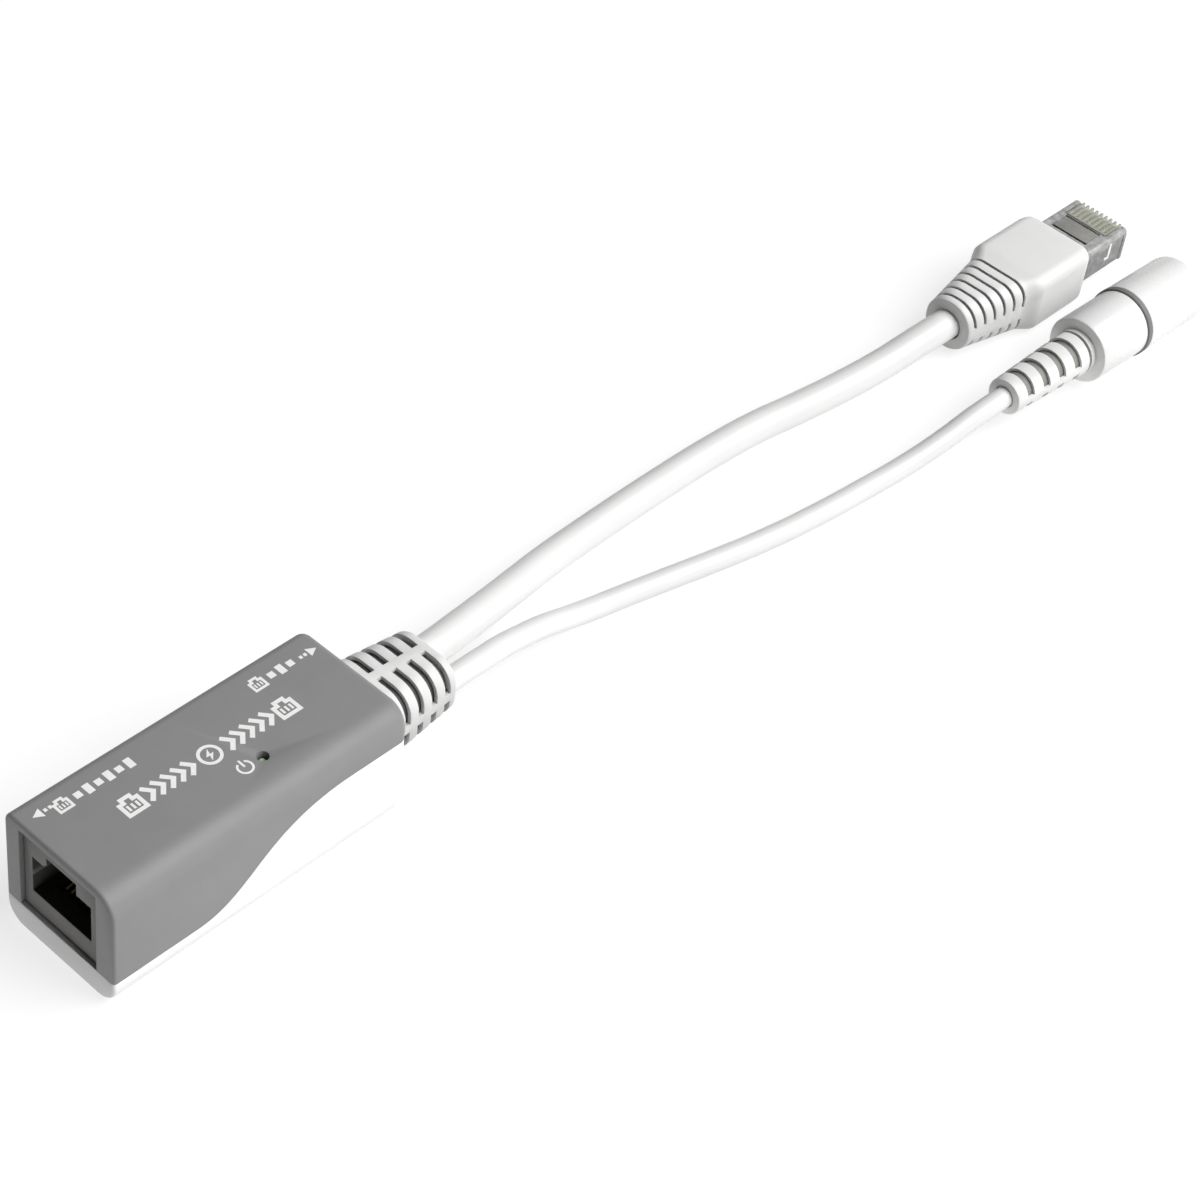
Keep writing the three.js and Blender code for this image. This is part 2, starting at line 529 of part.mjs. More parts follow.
add("plug_boot", cut(
  bootForm,
  box([PLUG.rear - 0.4, 1], [-halfPlug - GAP, halfPlug + GAP], [PLUG.bottom - GAP, PLUG.top + GAP]),
  box([LATCH.tailX - 1.6, 1], [-LATCH.tabHalf - 0.6, LATCH.tabHalf + 0.6], [-1, PLUG.bottom + 0.5]),
  ...bootGrooves,
), FINISH.soft, plugGroup);

// ---------- DC socket, in its own frame: +X to the open end, origin on the axis at the rear face ----------
const dcRear = DC_LENGTHS.rear;
const dcRingFrom = dcRear + GAP;
const dcFrontFrom = dcRingFrom + DC_LENGTHS.ring + GAP;
const dcEnd = dcFrontFrom + DC_LENGTHS.front;
const insulatorFrom = dcEnd - DC_BORE.depth - 1.6;
const round = { sides: 32 };

add("dc_rear_barrel", join(
  rod(DC_RADII.rear - DC_RADII.edge, 0, DC_RADII.edge, { ...round, endRadius: DC_RADII.rear }),
  rod(DC_RADII.rear, DC_RADII.edge - 0.1, dcRear, round),
), FINISH.tray, dcGroup);
add("dc_ring", cut(
  rod(DC_RADII.ring, dcRingFrom, dcRingFrom + DC_LENGTHS.ring, round),
  rod(1.5, dcRingFrom - 1, dcRingFrom + 3, { sides: 12 }),
), FINISH.dark, dcGroup);
add("dc_front_barrel", cut(
  join(
    rod(DC_RADII.front, dcFrontFrom, dcEnd - 0.6, { ...round, endRadius: DC_RADII.frontEnd }),
    rod(DC_RADII.frontEnd, dcEnd - 0.7, dcEnd, { ...round, endRadius: DC_RADII.frontEnd - DC_RADII.edge }),
  ),
  rod(DC_RADII.spigot + GAP, insulatorFrom - GAP, dcEnd + 1),
), FINISH.tray, dcGroup);
const springSlot = box([insulatorFrom + 2, dcEnd - 2.4], [-1.1, 1.1], [2, 3.9]);
add("dc_insulator", cut(
  rod(DC_RADII.spigot, insulatorFrom, dcEnd - 0.4),
  rod(DC_BORE.radius, dcEnd - DC_BORE.depth, dcEnd + 1),
  springSlot,
), FINISH.carrier, dcGroup);
add("dc_centre_pin", join(
  rod(DC_BORE.pinRadius, dcEnd - DC_BORE.depth + GAP, dcEnd - 1.6, { sides: 12 }),
  rod(DC_BORE.pinRadius, dcEnd - 1.7, dcEnd - 1, { sides: 12, endRadius: 0.5 }),
), FINISH.steel, dcGroup);
const leafRoot = { x: insulatorFrom + 2.6, z: 3.3 };
add("dc_leaf_contact", prism(outline([
  [leafRoot.x - 0.4, leafRoot.z - 0.2], [leafRoot.x + 2.2, leafRoot.z - 0.75], [dcEnd - 4, leafRoot.z - 0.3],
  [dcEnd - 4, leafRoot.z], [leafRoot.x + 2.2, leafRoot.z - 0.4], [leafRoot.x - 0.4, leafRoot.z + 0.15],
]), "y", -0.8, 0.8), FINISH.copper, dcGroup);

/** The DC strain relief's round tapered sleeve, or its core when shrunk. */
function dcTaper(shrink, from, to) {
  const { thin, thick } = DC_TAPER;
  const radiusAt = (x) => THREE.MathUtils.mapLinear(x, -DC_LENGTHS.relief, -GAP, thin, thick) - shrink;
  return rod(radiusAt(from), from, to, { endRadius: radiusAt(to) });
}
const dcRibs = box([-DC_LENGTHS.relief, 0], [-6, 6], [-DC_SLOTS.rib / 2, DC_SLOTS.rib / 2]);
const dcSlots = Array.from({ length: DC_SLOTS.count }, (_, i) => {
  const x = DC_SLOTS.first + i * DC_SLOTS.pitch;
  return cut(box([x - DC_SLOTS.width / 2, x + DC_SLOTS.width / 2], [-5, 5], [-5, 5]), dcRibs);
});
const taperFrom = -DC_LENGTHS.relief + DC_TAPER.endWall;
const dcSleeveInner = dcTaper(DC_TAPER.wall, taperFrom, 1);
const dcNeckGroove = cut(
  rod(DC_RADII.rear, DC_NECK_GROOVE.from, DC_NECK_GROOVE.to),
  rod(DC_NECK_GROOVE.radius, DC_NECK_GROOVE.from - 1, DC_NECK_GROOVE.to + 1),
);
add("dc_strain_relief", cut(
  dcTaper(0, -DC_LENGTHS.relief, -GAP), dcNeckGroove,
  dcSleeveInner,
  ...dcSlots,
), FINISH.soft, dcGroup);
add("dc_relief_core", dcTaper(DC_TAPER.wall + GAP, taperFrom + GAP, -GAP), FINISH.dark, dcGroup);

export default group;
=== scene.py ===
"""Looks of a passive PoE injector, built round its CAD frame in Blender 4.5.

Geometry is written in millimetres in the frame of the CAD model: the origin is the centre of the housing's
underside, +X runs along the leads and +Z is up. settle() turns each finished mesh into metres.
"""

import math

import bmesh
import bpy
from mathutils import Matrix, Vector


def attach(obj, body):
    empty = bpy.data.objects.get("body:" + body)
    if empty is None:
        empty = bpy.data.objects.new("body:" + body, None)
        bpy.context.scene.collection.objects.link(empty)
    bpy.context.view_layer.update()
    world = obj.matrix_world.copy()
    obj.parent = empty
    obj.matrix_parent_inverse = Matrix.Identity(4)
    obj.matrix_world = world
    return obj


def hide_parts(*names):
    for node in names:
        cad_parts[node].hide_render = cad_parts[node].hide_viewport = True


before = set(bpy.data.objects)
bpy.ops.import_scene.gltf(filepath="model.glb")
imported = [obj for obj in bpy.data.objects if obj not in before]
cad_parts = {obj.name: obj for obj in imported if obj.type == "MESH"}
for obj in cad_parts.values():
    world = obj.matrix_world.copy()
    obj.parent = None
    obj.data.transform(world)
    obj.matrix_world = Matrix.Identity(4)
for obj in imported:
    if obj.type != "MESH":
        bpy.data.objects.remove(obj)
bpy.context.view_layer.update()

MM = 0.001

# ---------- camera ----------
CAMERA = {
    "azimuth": -52.46, "elevation": 43.26, "roll": 8.28, "distance": 0.44808,
    "target": (0.07173, -0.00594, 0.010), "lens": 90.0, "sensor": 36.0,
}


def make_camera():
    azimuth, elevation, roll = (math.radians(CAMERA[k]) for k in ("azimuth", "elevation", "roll"))
    level_share = math.cos(elevation)
    back = Vector((math.sin(azimuth) * level_share, -math.cos(azimuth) * level_share, math.sin(elevation)))
    level = Vector((math.cos(azimuth), math.sin(azimuth), 0))
    rise = back.cross(level)
    right = math.cos(roll) * level + math.sin(roll) * rise
    up = -math.sin(roll) * level + math.cos(roll) * rise
    data = bpy.data.cameras.new("camera")
    data.lens = CAMERA["lens"]
    data.sensor_width = CAMERA["sensor"]
    data.clip_start = 0.01
    camera = bpy.data.objects.new("camera", data)
    bpy.context.scene.collection.objects.link(camera)
    turned = Matrix((right, up, back)).transposed().to_4x4()
    camera.matrix_world = Matrix.Translation(Vector(CAMERA["target"]) + CAMERA["distance"] * back) @ turned
    bpy.context.scene.camera = camera


make_camera()

# ---------- dimensions ----------
FRONT, REAR = -26.25, 27.1
HOUSING = {"width": 22.0, "height": 20.8, "wall": 1.6, "front_wall": 1.2, "edge": 0.14}
CORNER = {"bottom": 3.4, "near_top": 3.8, "far_top": 1.8}
FRONT_FILLET = 0.5
REAR_FILLET = 1.6
REAR_BULGE = 0.5  # the rear wall is this much further out on the centre line than at the sides
REAR_BENDS = (19.0, 21.0, 23.0)  # where the sides begin to bend towards the bowed rear wall
PARTING = {"front": 4.65, "rear": 15.35, "start": -11.75, "end": 15.75, "low_pull": 10.0, "high_pull": 16.5}
SEAM = 0.04  # half the gap between the two shells

HOOK = {"x": (15, 19), "reach": 2.6, "top": 2.5, "foot": 0.8}
POST = {"radius": 1.6, "x": (-20, 16), "y": (-6, 6), "bottom": 1.3, "top": 2.7}
JACK_OPENING = {"y": (-7.45, 8.05), "z": (3, 19.35)}  # the cover's opening round the jack

JACK = {"half": 7.55, "y": 0.3, "bottom": 4.85, "top": 19.2, "face": FRONT + 0.7, "length": 15.9}
SOCKET = {"half": 5.95, "bottom": 8.4, "top": 15.1, "key_half": 3.0, "key_top": 17.2, "depth": 12.9}
KEY_STEP = (0.4, 0.5)  # width and height of the step at one corner of the opening's key
JACK_WELL = {"from": FRONT + 3.3, "half": 5.1, "bottom": 5.3}  # the pit below the springs
JACK_RIB = {"low": 3.0, "high": 4.2, "stand": 0.12, "length": 4.5}  # on the opening's far wall
JACK_SHADE = 3.0  # the opening's walls are painted darker from this far behind the face: painted shade
SPRING = {"root": (FRONT + 4.7, 7.6), "tip": (FRONT + 12.4, 9.9), "half": 0.2}
POLES = 8
POLE_PITCH = 1.016
POLE_OFFSETS = [(i - (POLES - 1) / 2) * POLE_PITCH for i in range(POLES)]

LED = {"x": 5.55, "y": -4.0, "hole": 0.95}

RELIEF = {
    "length": 14.95, "y": 0.7, "axis": 10.0, "wall": 0.7, "corner": 3.9,
    "root": (14.9, 12.1), "end": (12.5, 10.2), "end_wall": 1.6, "flange": 0.9, "rounding": 0.7,
}
RELIEF_SLOTS = {"count": 4, "first": 4.15, "pitch": 2.88, "width": 1.2, "rib": 1.5}

HOLE_PLAY = 0.12  # radial play of a lead or the plug in the opening it passes through
NETWORK_LEAD = {"diameter": 5.4, "exit": (3.1, 10.0)}
DC_LEAD = {"diameter": 3.7, "exit": (-3.2, 10.0)}

PLUG = {"place": (201.6, 4.8, 0), "yaw": 0.0, "half": 5.84, "bottom": 1.9, "top": 8.5, "nose": 14.0}
PLUG_BODY = {"rear": -9.2, "inset": 0.6, "recess": (-4.6, 4.2), "recess_depth": 4.2}
COMB = {"half": 4.2, "behind": 0.45, "below_top": (1.5, 0.1), "slot_behind": 1.0, "slot_depth": 3.7}
WIRE_SPACE = {"x": (-10, -1.2), "half": 4.4, "below_top": (4.8, 1.8)}
SHELL = {"wall": 0.35, "rear": -7.5, "window": 8.3, "front": 13.4, "slot": (3.5, 4.3), "panel": (4.3, 8.2)}
SHELL_HALVES = {"window": 4.6, "underside": 3.6}  # half widths of the openings over and under the plug
PANEL = {"y": (-3.65, 3.9), "play": 0.05, "below_top": (0.5, 0.28)}
RAIL = {"stand": 0.1, "stem": (8.4, 8.95), "foot": (7.6, 8.6), "low": 4.3, "high": 7.5, "foot_top": 4.75}
NOSE_BAND = {"from": 12.6, "z": (2.3, 7.6)}
BLADE = {"half": 0.17, "slot_half": 0.31, "foot": 3.4, "crest": 0.55}
LATCH = {"pivot": (12.0, 1.15), "tail": -3.4, "drop": 0.7, "arm": 1.6, "root": 3.1, "flare": (3, 4.4)}
BOOT = {"width": 15.4, "height": 11.2, "block": 14.5, "length": 30.75, "axis": 5.65, "collar": 4.75}
BOOT_TAPER = {"end": -17.2, "width": 12.8, "height": 10.6, "corners": (4.4, 3.0)}
BOOT_CAVITY = {"depth": 9.6, "notch_depth": 5.0, "notch_half": 2.2}  # for the plug and its latch lever
GROOVES = {"count": 6, "first": -29.1, "pitch": 2.26, "width": 0.62, "depth": 1.0, "rib": (4.15, 6.7)}
GROOVE_SHADE = {"top": 0.3, "bottom": 1.3}  # how far below the boot's surface the dark sheet of painted groove shade lies

DC = {"place": (182.0, -14.7, 6.5), "yaw": -1.5, "rear": 6.0, "ring": 6.3, "front": 6.25, "front_end": 6.15}
DC_STATIONS = {"rear_end": 11.95, "ring_end": 13.05, "front_start": 13.15, "end": 28.2}
DC_RELIEF = {"length": 20.0, "thin": 3.3, "thick": 4.05, "wall": 0.45, "end_wall": 1.2}
DC_NECK = {"from": -1.65, "to": -1.05, "radius": 3.4}  # a full ring groove behind the barrel
DC_SLOTS = {"count": 4, "first": -16.8, "pitch": 4.05, "width": 1.7, "rib": 1.3}
DC_BORE = {"radius": 2.9, "depth": 9.6, "pin": 1.03, "insulator": 4.3, "seat": 4.45, "back": 1.6}
LEAF_SLOT = {"from_back": 2.0, "from_end": 2.4, "half": 1.1, "z": (2, 3.9)}

# ---------- the two leads ----------
NETWORK_ROUTE = [
    (41.2, 3.1, 10), (42.35, 3.1, 10), (46, 3.25, 9.95), (51, 4.1, 9.1), (57, 5.4, 7.7), (63.5, 6.9, 6.1),
    (70, 8.4, 4.6), (76, 9.6, 3.5), (82, 10.3, 2.9), (88, 10.6, 2.75), (96, 10.8, 2.75), (106, 10.9, 2.75),
    (116.5, 10.8, 2.75), (127, 10.2, 2.75), (137, 8.8, 2.8), (147, 7.3, 3.3), (156, 6.1, 4.2),
    (163, 5.4, 5.2), (170.5, 5, 5.65), (172.5, 4.95, 5.65),
]
DC_ROUTE = [
    (41.2, -3.2, 10), (42.35, -3.2, 10), (45.5, -3.1, 9.95), (50, -2.5, 9), (55, -1.7, 7.7), (60, -1.2, 6.3),
    (65.5, -0.9, 4.8), (71, -1.0, 3.2), (76, -1.5, 2.3), (81.5, -2.4, 1.95), (90.5, -4.4, 1.9),
    (100, -6.6, 1.9), (109.5, -8.5, 1.9), (119.5, -9.9, 1.9), (130, -10.9, 1.95), (139, -11.9, 2.5),
    (147, -13, 4.1), (155, -13.8, 5.95), (161.7, -14.17, 6.5), (163.2, -14.2, 6.5),
]


def make_lead(name, route, diameter):
    """A round lead along a smooth curve through the route."""
    data = bpy.data.curves.new(name, "CURVE")
    data.dimensions = "3D"
    data.bevel_depth = diameter * MM / 2
    data.bevel_resolution = 8
    data.resolution_u = 8
    data.use_fill_caps = True
    spline = data.splines.new("BEZIER")
    spline.bezier_points.add(len(route) - 1)
    for point, place in zip(spline.bezier_points, route):
        point.co = Vector(place) * MM
        point.handle_left_type = point.handle_right_type = "AUTO"
    lead = bpy.data.objects.new(name, data)
    bpy.context.scene.collection.objects.link(lead)
    return lead


# ---------- materials ----------
PLASTIC_IOR = 1.45
NOISE_SPAN = (0.3, 0.7)  # the part of a noise's range that is spread over the full change
GRAIN_RELIEF = 0.03  # millimetres


def new_material(name):
    material = bpy.data.materials.new(name)
    material.use_nodes = True
    nodes, links = material.node_tree.nodes, material.node_tree.links
    shader = next(n for n in nodes if n.type == "BSDF_PRINCIPLED")
    return material, nodes, links, shader


def shaded(colour, factor):
    return (*(min(1.0, c * factor) for c in colour), 1.0)


def noise(nodes, links, vector, scale, detail):
    texture = nodes.new("ShaderNodeTexNoise")
    texture.inputs["Scale"].default_value = scale
    texture.inputs["Detail"].default_value = detail
    links.new(vector, texture.inputs["Vector"])
    return texture.outputs["Fac"]


def mottled(nodes, links, vector, colour, mottle, scale):
    """A colour that drifts a little lighter and darker."""
    ramp = nodes.new("ShaderNodeValToRGB")
    ramp.color_ramp.elements[0].position, ramp.color_ramp.elements[1].position = NOISE_SPAN
    ramp.color_ramp.elements[0].color = shaded(colour, 1 - mottle)
    ramp.color_ramp.elements[1].color = shaded(colour, 1 + mottle)
    links.new(noise(nodes, links, vector, scale, 4.0), ramp.inputs["Fac"])
    return ramp.outputs["Color"]


def paint_low_shade(nodes, links, position, colour, low_shade):
    """A colour darkened by a factor at the low height, and whole at the high one, in millimetres: painted
    shade on the lower part of a surface.
    """
    low, high, factor = low_shade
    split = nodes.new("ShaderNodeSeparateXYZ")
    links.new(position, split.inputs["Vector"])
    tone = nodes.new("ShaderNodeMapRange")
    tone.inputs["From Min"].default_value = low * MM
    tone.inputs["From Max"].default_value = high * MM
    tone.inputs["To Min"].default_value = factor
    links.new(split.outputs["Z"], tone.inputs["Value"])
    toned = nodes.new("ShaderNodeVectorMath")
    toned.operation = "SCALE"
    links.new(colour, toned.inputs[0])
    links.new(tone.outputs["Result"], toned.inputs["Scale"])
    return toned.outputs["Vector"]


def surface(name, colour, roughness, metallic=0.0, mottle=0.03, mottle_scale=260.0, grain=0.15,
            grain_scale=3200.0, spread=0.06, stretch=(1, 1, 1), coat=0.0, transmission=0.0, specular=0.5,
            low_shade=None):
    """A surface with soft colour mottling, a fine grain that varies its roughness and its relief, and, if
    asked, painted shade that darkens its lower part.
    """
    material, nodes, links, shader = new_material(name)
    position = nodes.new("ShaderNodeTexCoord").outputs["Object"]
    mapping = nodes.new("ShaderNodeMapping")
    mapping.inputs["Scale"].default_value = stretch
    links.new(position, mapping.inputs["Vector"])
    vector = mapping.outputs["Vector"]

    tone = mottled(nodes, links, vector, colour, mottle, mottle_scale)
    # painted shade: the colour darkens towards the bottom
    if low_shade:
        tone = paint_low_shade(nodes, links, position, tone, low_shade)
    links.new(tone, shader.inputs["Base Color"])

    fine = noise(nodes, links, vector, grain_scale, 3.0)
    spreader = nodes.new("ShaderNodeMapRange")
    spreader.inputs["From Min"].default_value, spreader.inputs["From Max"].default_value = NOISE_SPAN
    spreader.inputs["To Min"].default_value = max(0.02, roughness - spread)
    spreader.inputs["To Max"].default_value = min(1.0, roughness + spread)
    links.new(fine, spreader.inputs["Value"])
    links.new(spreader.outputs["Result"], shader.inputs["Roughness"])
    bump = nodes.new("ShaderNodeBump")
    bump.inputs["Strength"].default_value = grain
    bump.inputs["Distance"].default_value = GRAIN_RELIEF * MM
    links.new(fine, bump.inputs["Height"])
    links.new(bump.outputs["Normal"], shader.inputs["Normal"])

    shader.inputs["Metallic"].default_value = metallic
    shader.inputs["Coat Weight"].default_value = coat
    shader.inputs["Transmission Weight"].default_value = transmission
    shader.inputs["IOR"].default_value = PLASTIC_IOR
    shader.inputs["Specular IOR Level"].default_value = specular
    return material


WHITE = (0.80, 0.80, 0.795)
M = {
    "cover": surface("cover_satin", (0.237, 0.237, 0.238), 0.45, mottle=0.02, grain=0.3, grain_scale=5200,
                     specular=0.2),
    "tray": surface("tray_satin", WHITE, 0.4, mottle=0.012, specular=0.25),
    "jack": surface("jack_matte", (0.19, 0.188, 0.18), 0.6, mottle=0.05, grain=0.3, specular=0.25),
    # painted shade: the jack's own colour, darkened for the faces deep inside its opening
    "jack_painted_shade": surface("jack_painted_shade", (0.085, 0.086, 0.078), 0.7, mottle=0.1, grain=0.3, specular=0.1),
    "carrier": surface("carrier_matte", (0.03, 0.03, 0.032), 0.6),
    "gold": surface("gold_flash", (0.83, 0.66, 0.33), 0.22, metallic=1, mottle=0.04, stretch=(0.2, 1, 1)),
    "board": surface("board_mask", (0.03, 0.16, 0.07), 0.3, mottle=0.2, mottle_scale=900, coat=0.3),
    "component": surface("component_epoxy", (0.02, 0.02, 0.022), 0.5, mottle=0.15, grain=0.4),
    "lens": surface("lens_tinted", (0.45, 0.62, 0.42), 0.15, transmission=0.35, mottle=0.02),
    "can": surface("can_aluminium", (0.72, 0.73, 0.75), 0.3, metallic=1, stretch=(1, 1, 0.1)),
    "fuse": surface("fuse_body", (0.09, 0.09, 0.095), 0.55),
    # painted shade: the relief's white is darkened towards its bottom
    "soft": surface("soft_white", (0.68, 0.68, 0.672), 0.5, mottle=0.015, grain=0.25, grain_scale=2600,
                    low_shade=(6, 15.5, 0.62)),
    "dc_soft": surface("dc_soft_white", (0.75, 0.75, 0.74), 0.5, mottle=0.03, grain=0.25, grain_scale=2600),
    # a real core whose dark colour also stands in for the shade inside the relief's slots: partly painted
    # shade
    "relief_dark": surface("relief_dark", (0.085, 0.085, 0.085), 0.6, mottle=0.08),
    # a real core whose grey also stands in for the shade inside the DC relief's slots: partly painted shade
    "dc_core_and_shade": surface("dc_relief_core_and_shade", (0.25, 0.248, 0.235), 0.6, mottle=0.08, specular=0.25),
    # painted shade: the dark sheets inside the boot's grooves
    "groove_painted_shade": surface("groove_painted_shade", (0.07, 0.07, 0.068), 0.6, mottle=0.08, specular=0.25),
    "jacket": surface("lead_jacket", (0.73, 0.73, 0.725), 0.36, mottle=0.015, mottle_scale=120, grain=0.1),
    "orange": surface("pair_orange", (0.8, 0.32, 0.05), 0.4),
    "green": surface("pair_green", (0.05, 0.35, 0.1), 0.4),
    "blue": surface("pair_blue", (0.03, 0.13, 0.5), 0.4),
    "brown": surface("pair_brown", (0.25, 0.11, 0.04), 0.4),
    "red": surface("wire_red", (0.5, 0.02, 0.02), 0.4),
    "black": surface("wire_black", (0.015, 0.015, 0.016), 0.4),
    "clear": surface("plug_clear", (0.37, 0.38, 0.335), 0.25, mottle=0.06, mottle_scale=700, coat=0.2),
    # painted shade: the nickel is darker on the shield's sides below its top
    "shield": surface("shield_nickel", (0.41, 0.408, 0.406), 0.42, metallic=0.15, mottle=0.28,
                      mottle_scale=1500, grain=0.5, grain_scale=2500, spread=0.1, stretch=(0.6, 0.6, 0.6),
                      low_shade=(6.5, 8.4, 0.55)),
    # painted highlight: the shield's rails are coloured near white, as if catching the light
    "shield_painted_highlight": surface("shield_painted_highlight", (0.85, 0.85, 0.84), 0.35, metallic=0.1, mottle=0.1,
                           mottle_scale=1500),
    "panel": surface("shield_panel", (0.28, 0.277, 0.262), 0.5, metallic=0.1, mottle=0.08, mottle_scale=900),
    "blade": surface("blade_gold", (0.56, 0.52, 0.38), 0.35, metallic=0.45, mottle=0.05, stretch=(0.2, 1, 1)),
    # painted shade: the boot's white is darkened towards its bottom
    "boot": surface("boot_white", (0.75, 0.75, 0.742), 0.42, mottle=0.012, grain=0.25, grain_scale=2600,
                    low_shade=(1.5, 10.5, 0.55)),
    "dc_white": surface("dc_white", WHITE, 0.3, mottle=0.012, grain=0.04, coat=0.1),
    "dc_ring": surface("dc_ring_grey", (0.2, 0.198, 0.195), 0.55, mottle=0.05, specular=0.25),
    # the insulator's own black, also used as painted shade in the plug body's recess
    "dc_black": surface("dc_insulator", (0.03, 0.03, 0.032), 0.45),
    "steel": surface("pin_nickel", (0.75, 0.75, 0.76), 0.2, metallic=1, stretch=(0.2, 1, 1)),
    "bronze": surface("leaf_bronze", (0.72, 0.48, 0.3), 0.3, metallic=1, stretch=(0.2, 1, 1)),
    "ink": surface("mark_ink", (0.80, 0.80, 0.79), 0.5, mottle=0.03, mottle_scale=1200),
}


# ---------- mesh tools, in millimetres ----------
SHARP = 32  # degrees: edges that bend more than this are softened and shaded as edges
NEAR = 0.02  # how far off a surface a face may lie and still be counted as part of it


def from_faces(name, vertices, faces):
    mesh = bpy.data.meshes.new(name)
    mesh.from_pydata(vertices, [], faces)
    bm = bmesh.new()
    bm.from_mesh(mesh)
    bmesh.ops.remove_doubles(bm, verts=bm.verts, dist=1e-5)
    bmesh.ops.recalc_face_normals(bm, faces=bm.faces)
    bm.to_mesh(mesh)
    bm.free()
    piece = bpy.data.objects.new(name, mesh)
    bpy.context.scene.collection.objects.link(piece)
    return piece


def loft(rings):
    """A closed body through rings of equal point count, with flat ends."""
    count = len(rings[0])
    vertices = [point for ring in rings for point in ring]
    faces = [
        (s * count + i, s * count + (i + 1) % count, (s + 1) * count + (i + 1) % count, (s + 1) * count + i)
        for s in range(len(rings) - 1) for i in range(count)
    ]
    last = (len(rings) - 1) * count
    faces += [tuple(range(count))[::-1], tuple(range(last, last + count))]
    return from_faces("form", vertices, faces)


def rounded(x, width, bottom, top, radii, steps=8):
    """A ring in the plane at x: a rectangle with rounded corners, from -Y bottom round by +Y."""
    half = width / 2
    radii = [max(r, 0.05) for r in radii]
    centres = [
        (-half + radii[0], bottom + radii[0], 180), (half - radii[1], bottom + radii[1], 270),
        (half - radii[2], top - radii[2], 0), (-half + radii[3], top - radii[3], 90),
    ]
    ring = []
    for (y, z, start), r in zip(centres, radii):
        for i in range(steps + 1):
            angle = math.radians(start + 90 * i / steps)
            ring.append((x, y + r * math.cos(angle), z + r * math.sin(angle)))
    return ring


def box(x, y, z):
    return loft([[(px, y[0], z[0]), (px, y[1], z[0]), (px, y[1], z[1]), (px, y[0], z[1])] for px in x])


def prism(outline, axis, start, end):
    """A closed outline swept along an axis: in (x, z) along y, in (x, y) along z, or in (y, z) along x."""
    place = {
        "x": lambda a, b, c: (c, a, b), "y": lambda a, b, c: (a, c, b), "z": lambda a, b, c: (a, b, c),
    }[axis]
    return loft([[place(a, b, level) for a, b in outline] for level in (start, end)])


def turned(profile, centre=(0, 0), sides=64):
    """A closed body of revolution about X: a profile of (x, radius) points from one flat end to the other."""
    y, z = centre
    steps = [2 * math.pi * i / sides for i in range(sides)]
    return loft([[(x, y + r * math.cos(a), z + r * math.sin(a)) for a in steps] for x, r in profile])


def upright(radius, x, y, bottom, top, sides=48):
    """A cylinder along Z."""
    steps = [2 * math.pi * i / sides for i in range(sides)]
    circle = [(x + radius * math.cos(a), y + radius * math.sin(a)) for a in steps]
    return loft([[(px, py, z) for px, py in circle] for z in (bottom, top)])


def modify(piece, kind, **settings):
    modifier = piece.modifiers.new("step", kind)
    for key, value in settings.items():
        setattr(modifier, key, value)
    evaluated = piece.evaluated_get(bpy.context.evaluated_depsgraph_get())
    mesh = bpy.data.meshes.new_from_object(evaluated)
    piece.modifiers.clear()
    old, piece.data = piece.data, mesh
    bpy.data.meshes.remove(old)


def combine(piece, others, operation):
    for other in others:
        modify(piece, "BOOLEAN", operation=operation, solver="EXACT", object=other)
        old = other.data
        bpy.data.objects.remove(other)
        bpy.data.meshes.remove(old)
    return piece


def cut(piece, *others):
    return combine(piece, others, "DIFFERENCE")


def join(piece, *others):
    return combine(piece, others, "UNION")


def keep(piece, other):
    return combine(piece, [other], "INTERSECT")


def soften(piece, width, segments=2, angle=SHARP):
    """Rounds the sharp edges of a body."""
    modify(piece, "BEVEL", width=width, segments=segments, limit_method="ANGLE",
           angle_limit=math.radians(angle), use_clamp_overlap=True)
    return piece


def settle(piece, name, material, replaces=(), body="injector", place=None):
    """Names a finished body, turns it into metres, shades it and lets it ride on its CAD body."""
    piece.name = piece.data.name = name
    matrix = Matrix.Scale(MM, 4)
    if place:
        matrix = matrix @ Matrix.Translation(place["place"])
        matrix = matrix @ Matrix.Rotation(math.radians(place["yaw"]), 4, "Z")
    piece.data.transform(matrix)
    piece.data.shade_smooth()
    piece.data.set_sharp_from_angle(angle=math.radians(SHARP))
    piece.data.materials.clear()
    piece.data.materials.append(M[material])
    for node in replaces:
        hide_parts(node)
    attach(piece, body)
    return piece


def shade_part(piece, material, chosen):
    """Gives a second material to the chosen faces: one truth value for each face of a settled body."""
    piece.data.materials.append(M[material])
    for polygon, is_chosen in zip(piece.data.polygons, chosen):
        polygon.material_index = int(is_chosen)


def keep_node(node, material):
    """Shows a CAD node as it is, with a material of this file."""
    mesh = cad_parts[node].data
    mesh.materials.clear()
    mesh.materials.append(M[material])


# ---------- housing ----------
def bulged(ring):
    """Pulls the side parts of the rear forward, so that the rear wall is bowed in plan."""
    start, half = REAR_BENDS[0], HOUSING["width"] / 2
    out = []
    for x, y, z in ring:
        share = min(1.0, max(0.0, (x - start) / (REAR - start)))
        out.append((x - REAR_BULGE * (y / half) ** 2 * share, y, z))
    return out


def housing_ring(x, inset):
    radii = [CORNER["bottom"], CORNER["bottom"], CORNER["far_top"], CORNER["near_top"]]
    return bulged(rounded(
        x, HOUSING["width"] - 2 * inset, inset, HOUSING["height"] - inset,
        [max(r - inset, 0.4) for r in radii], steps=10,
    ))


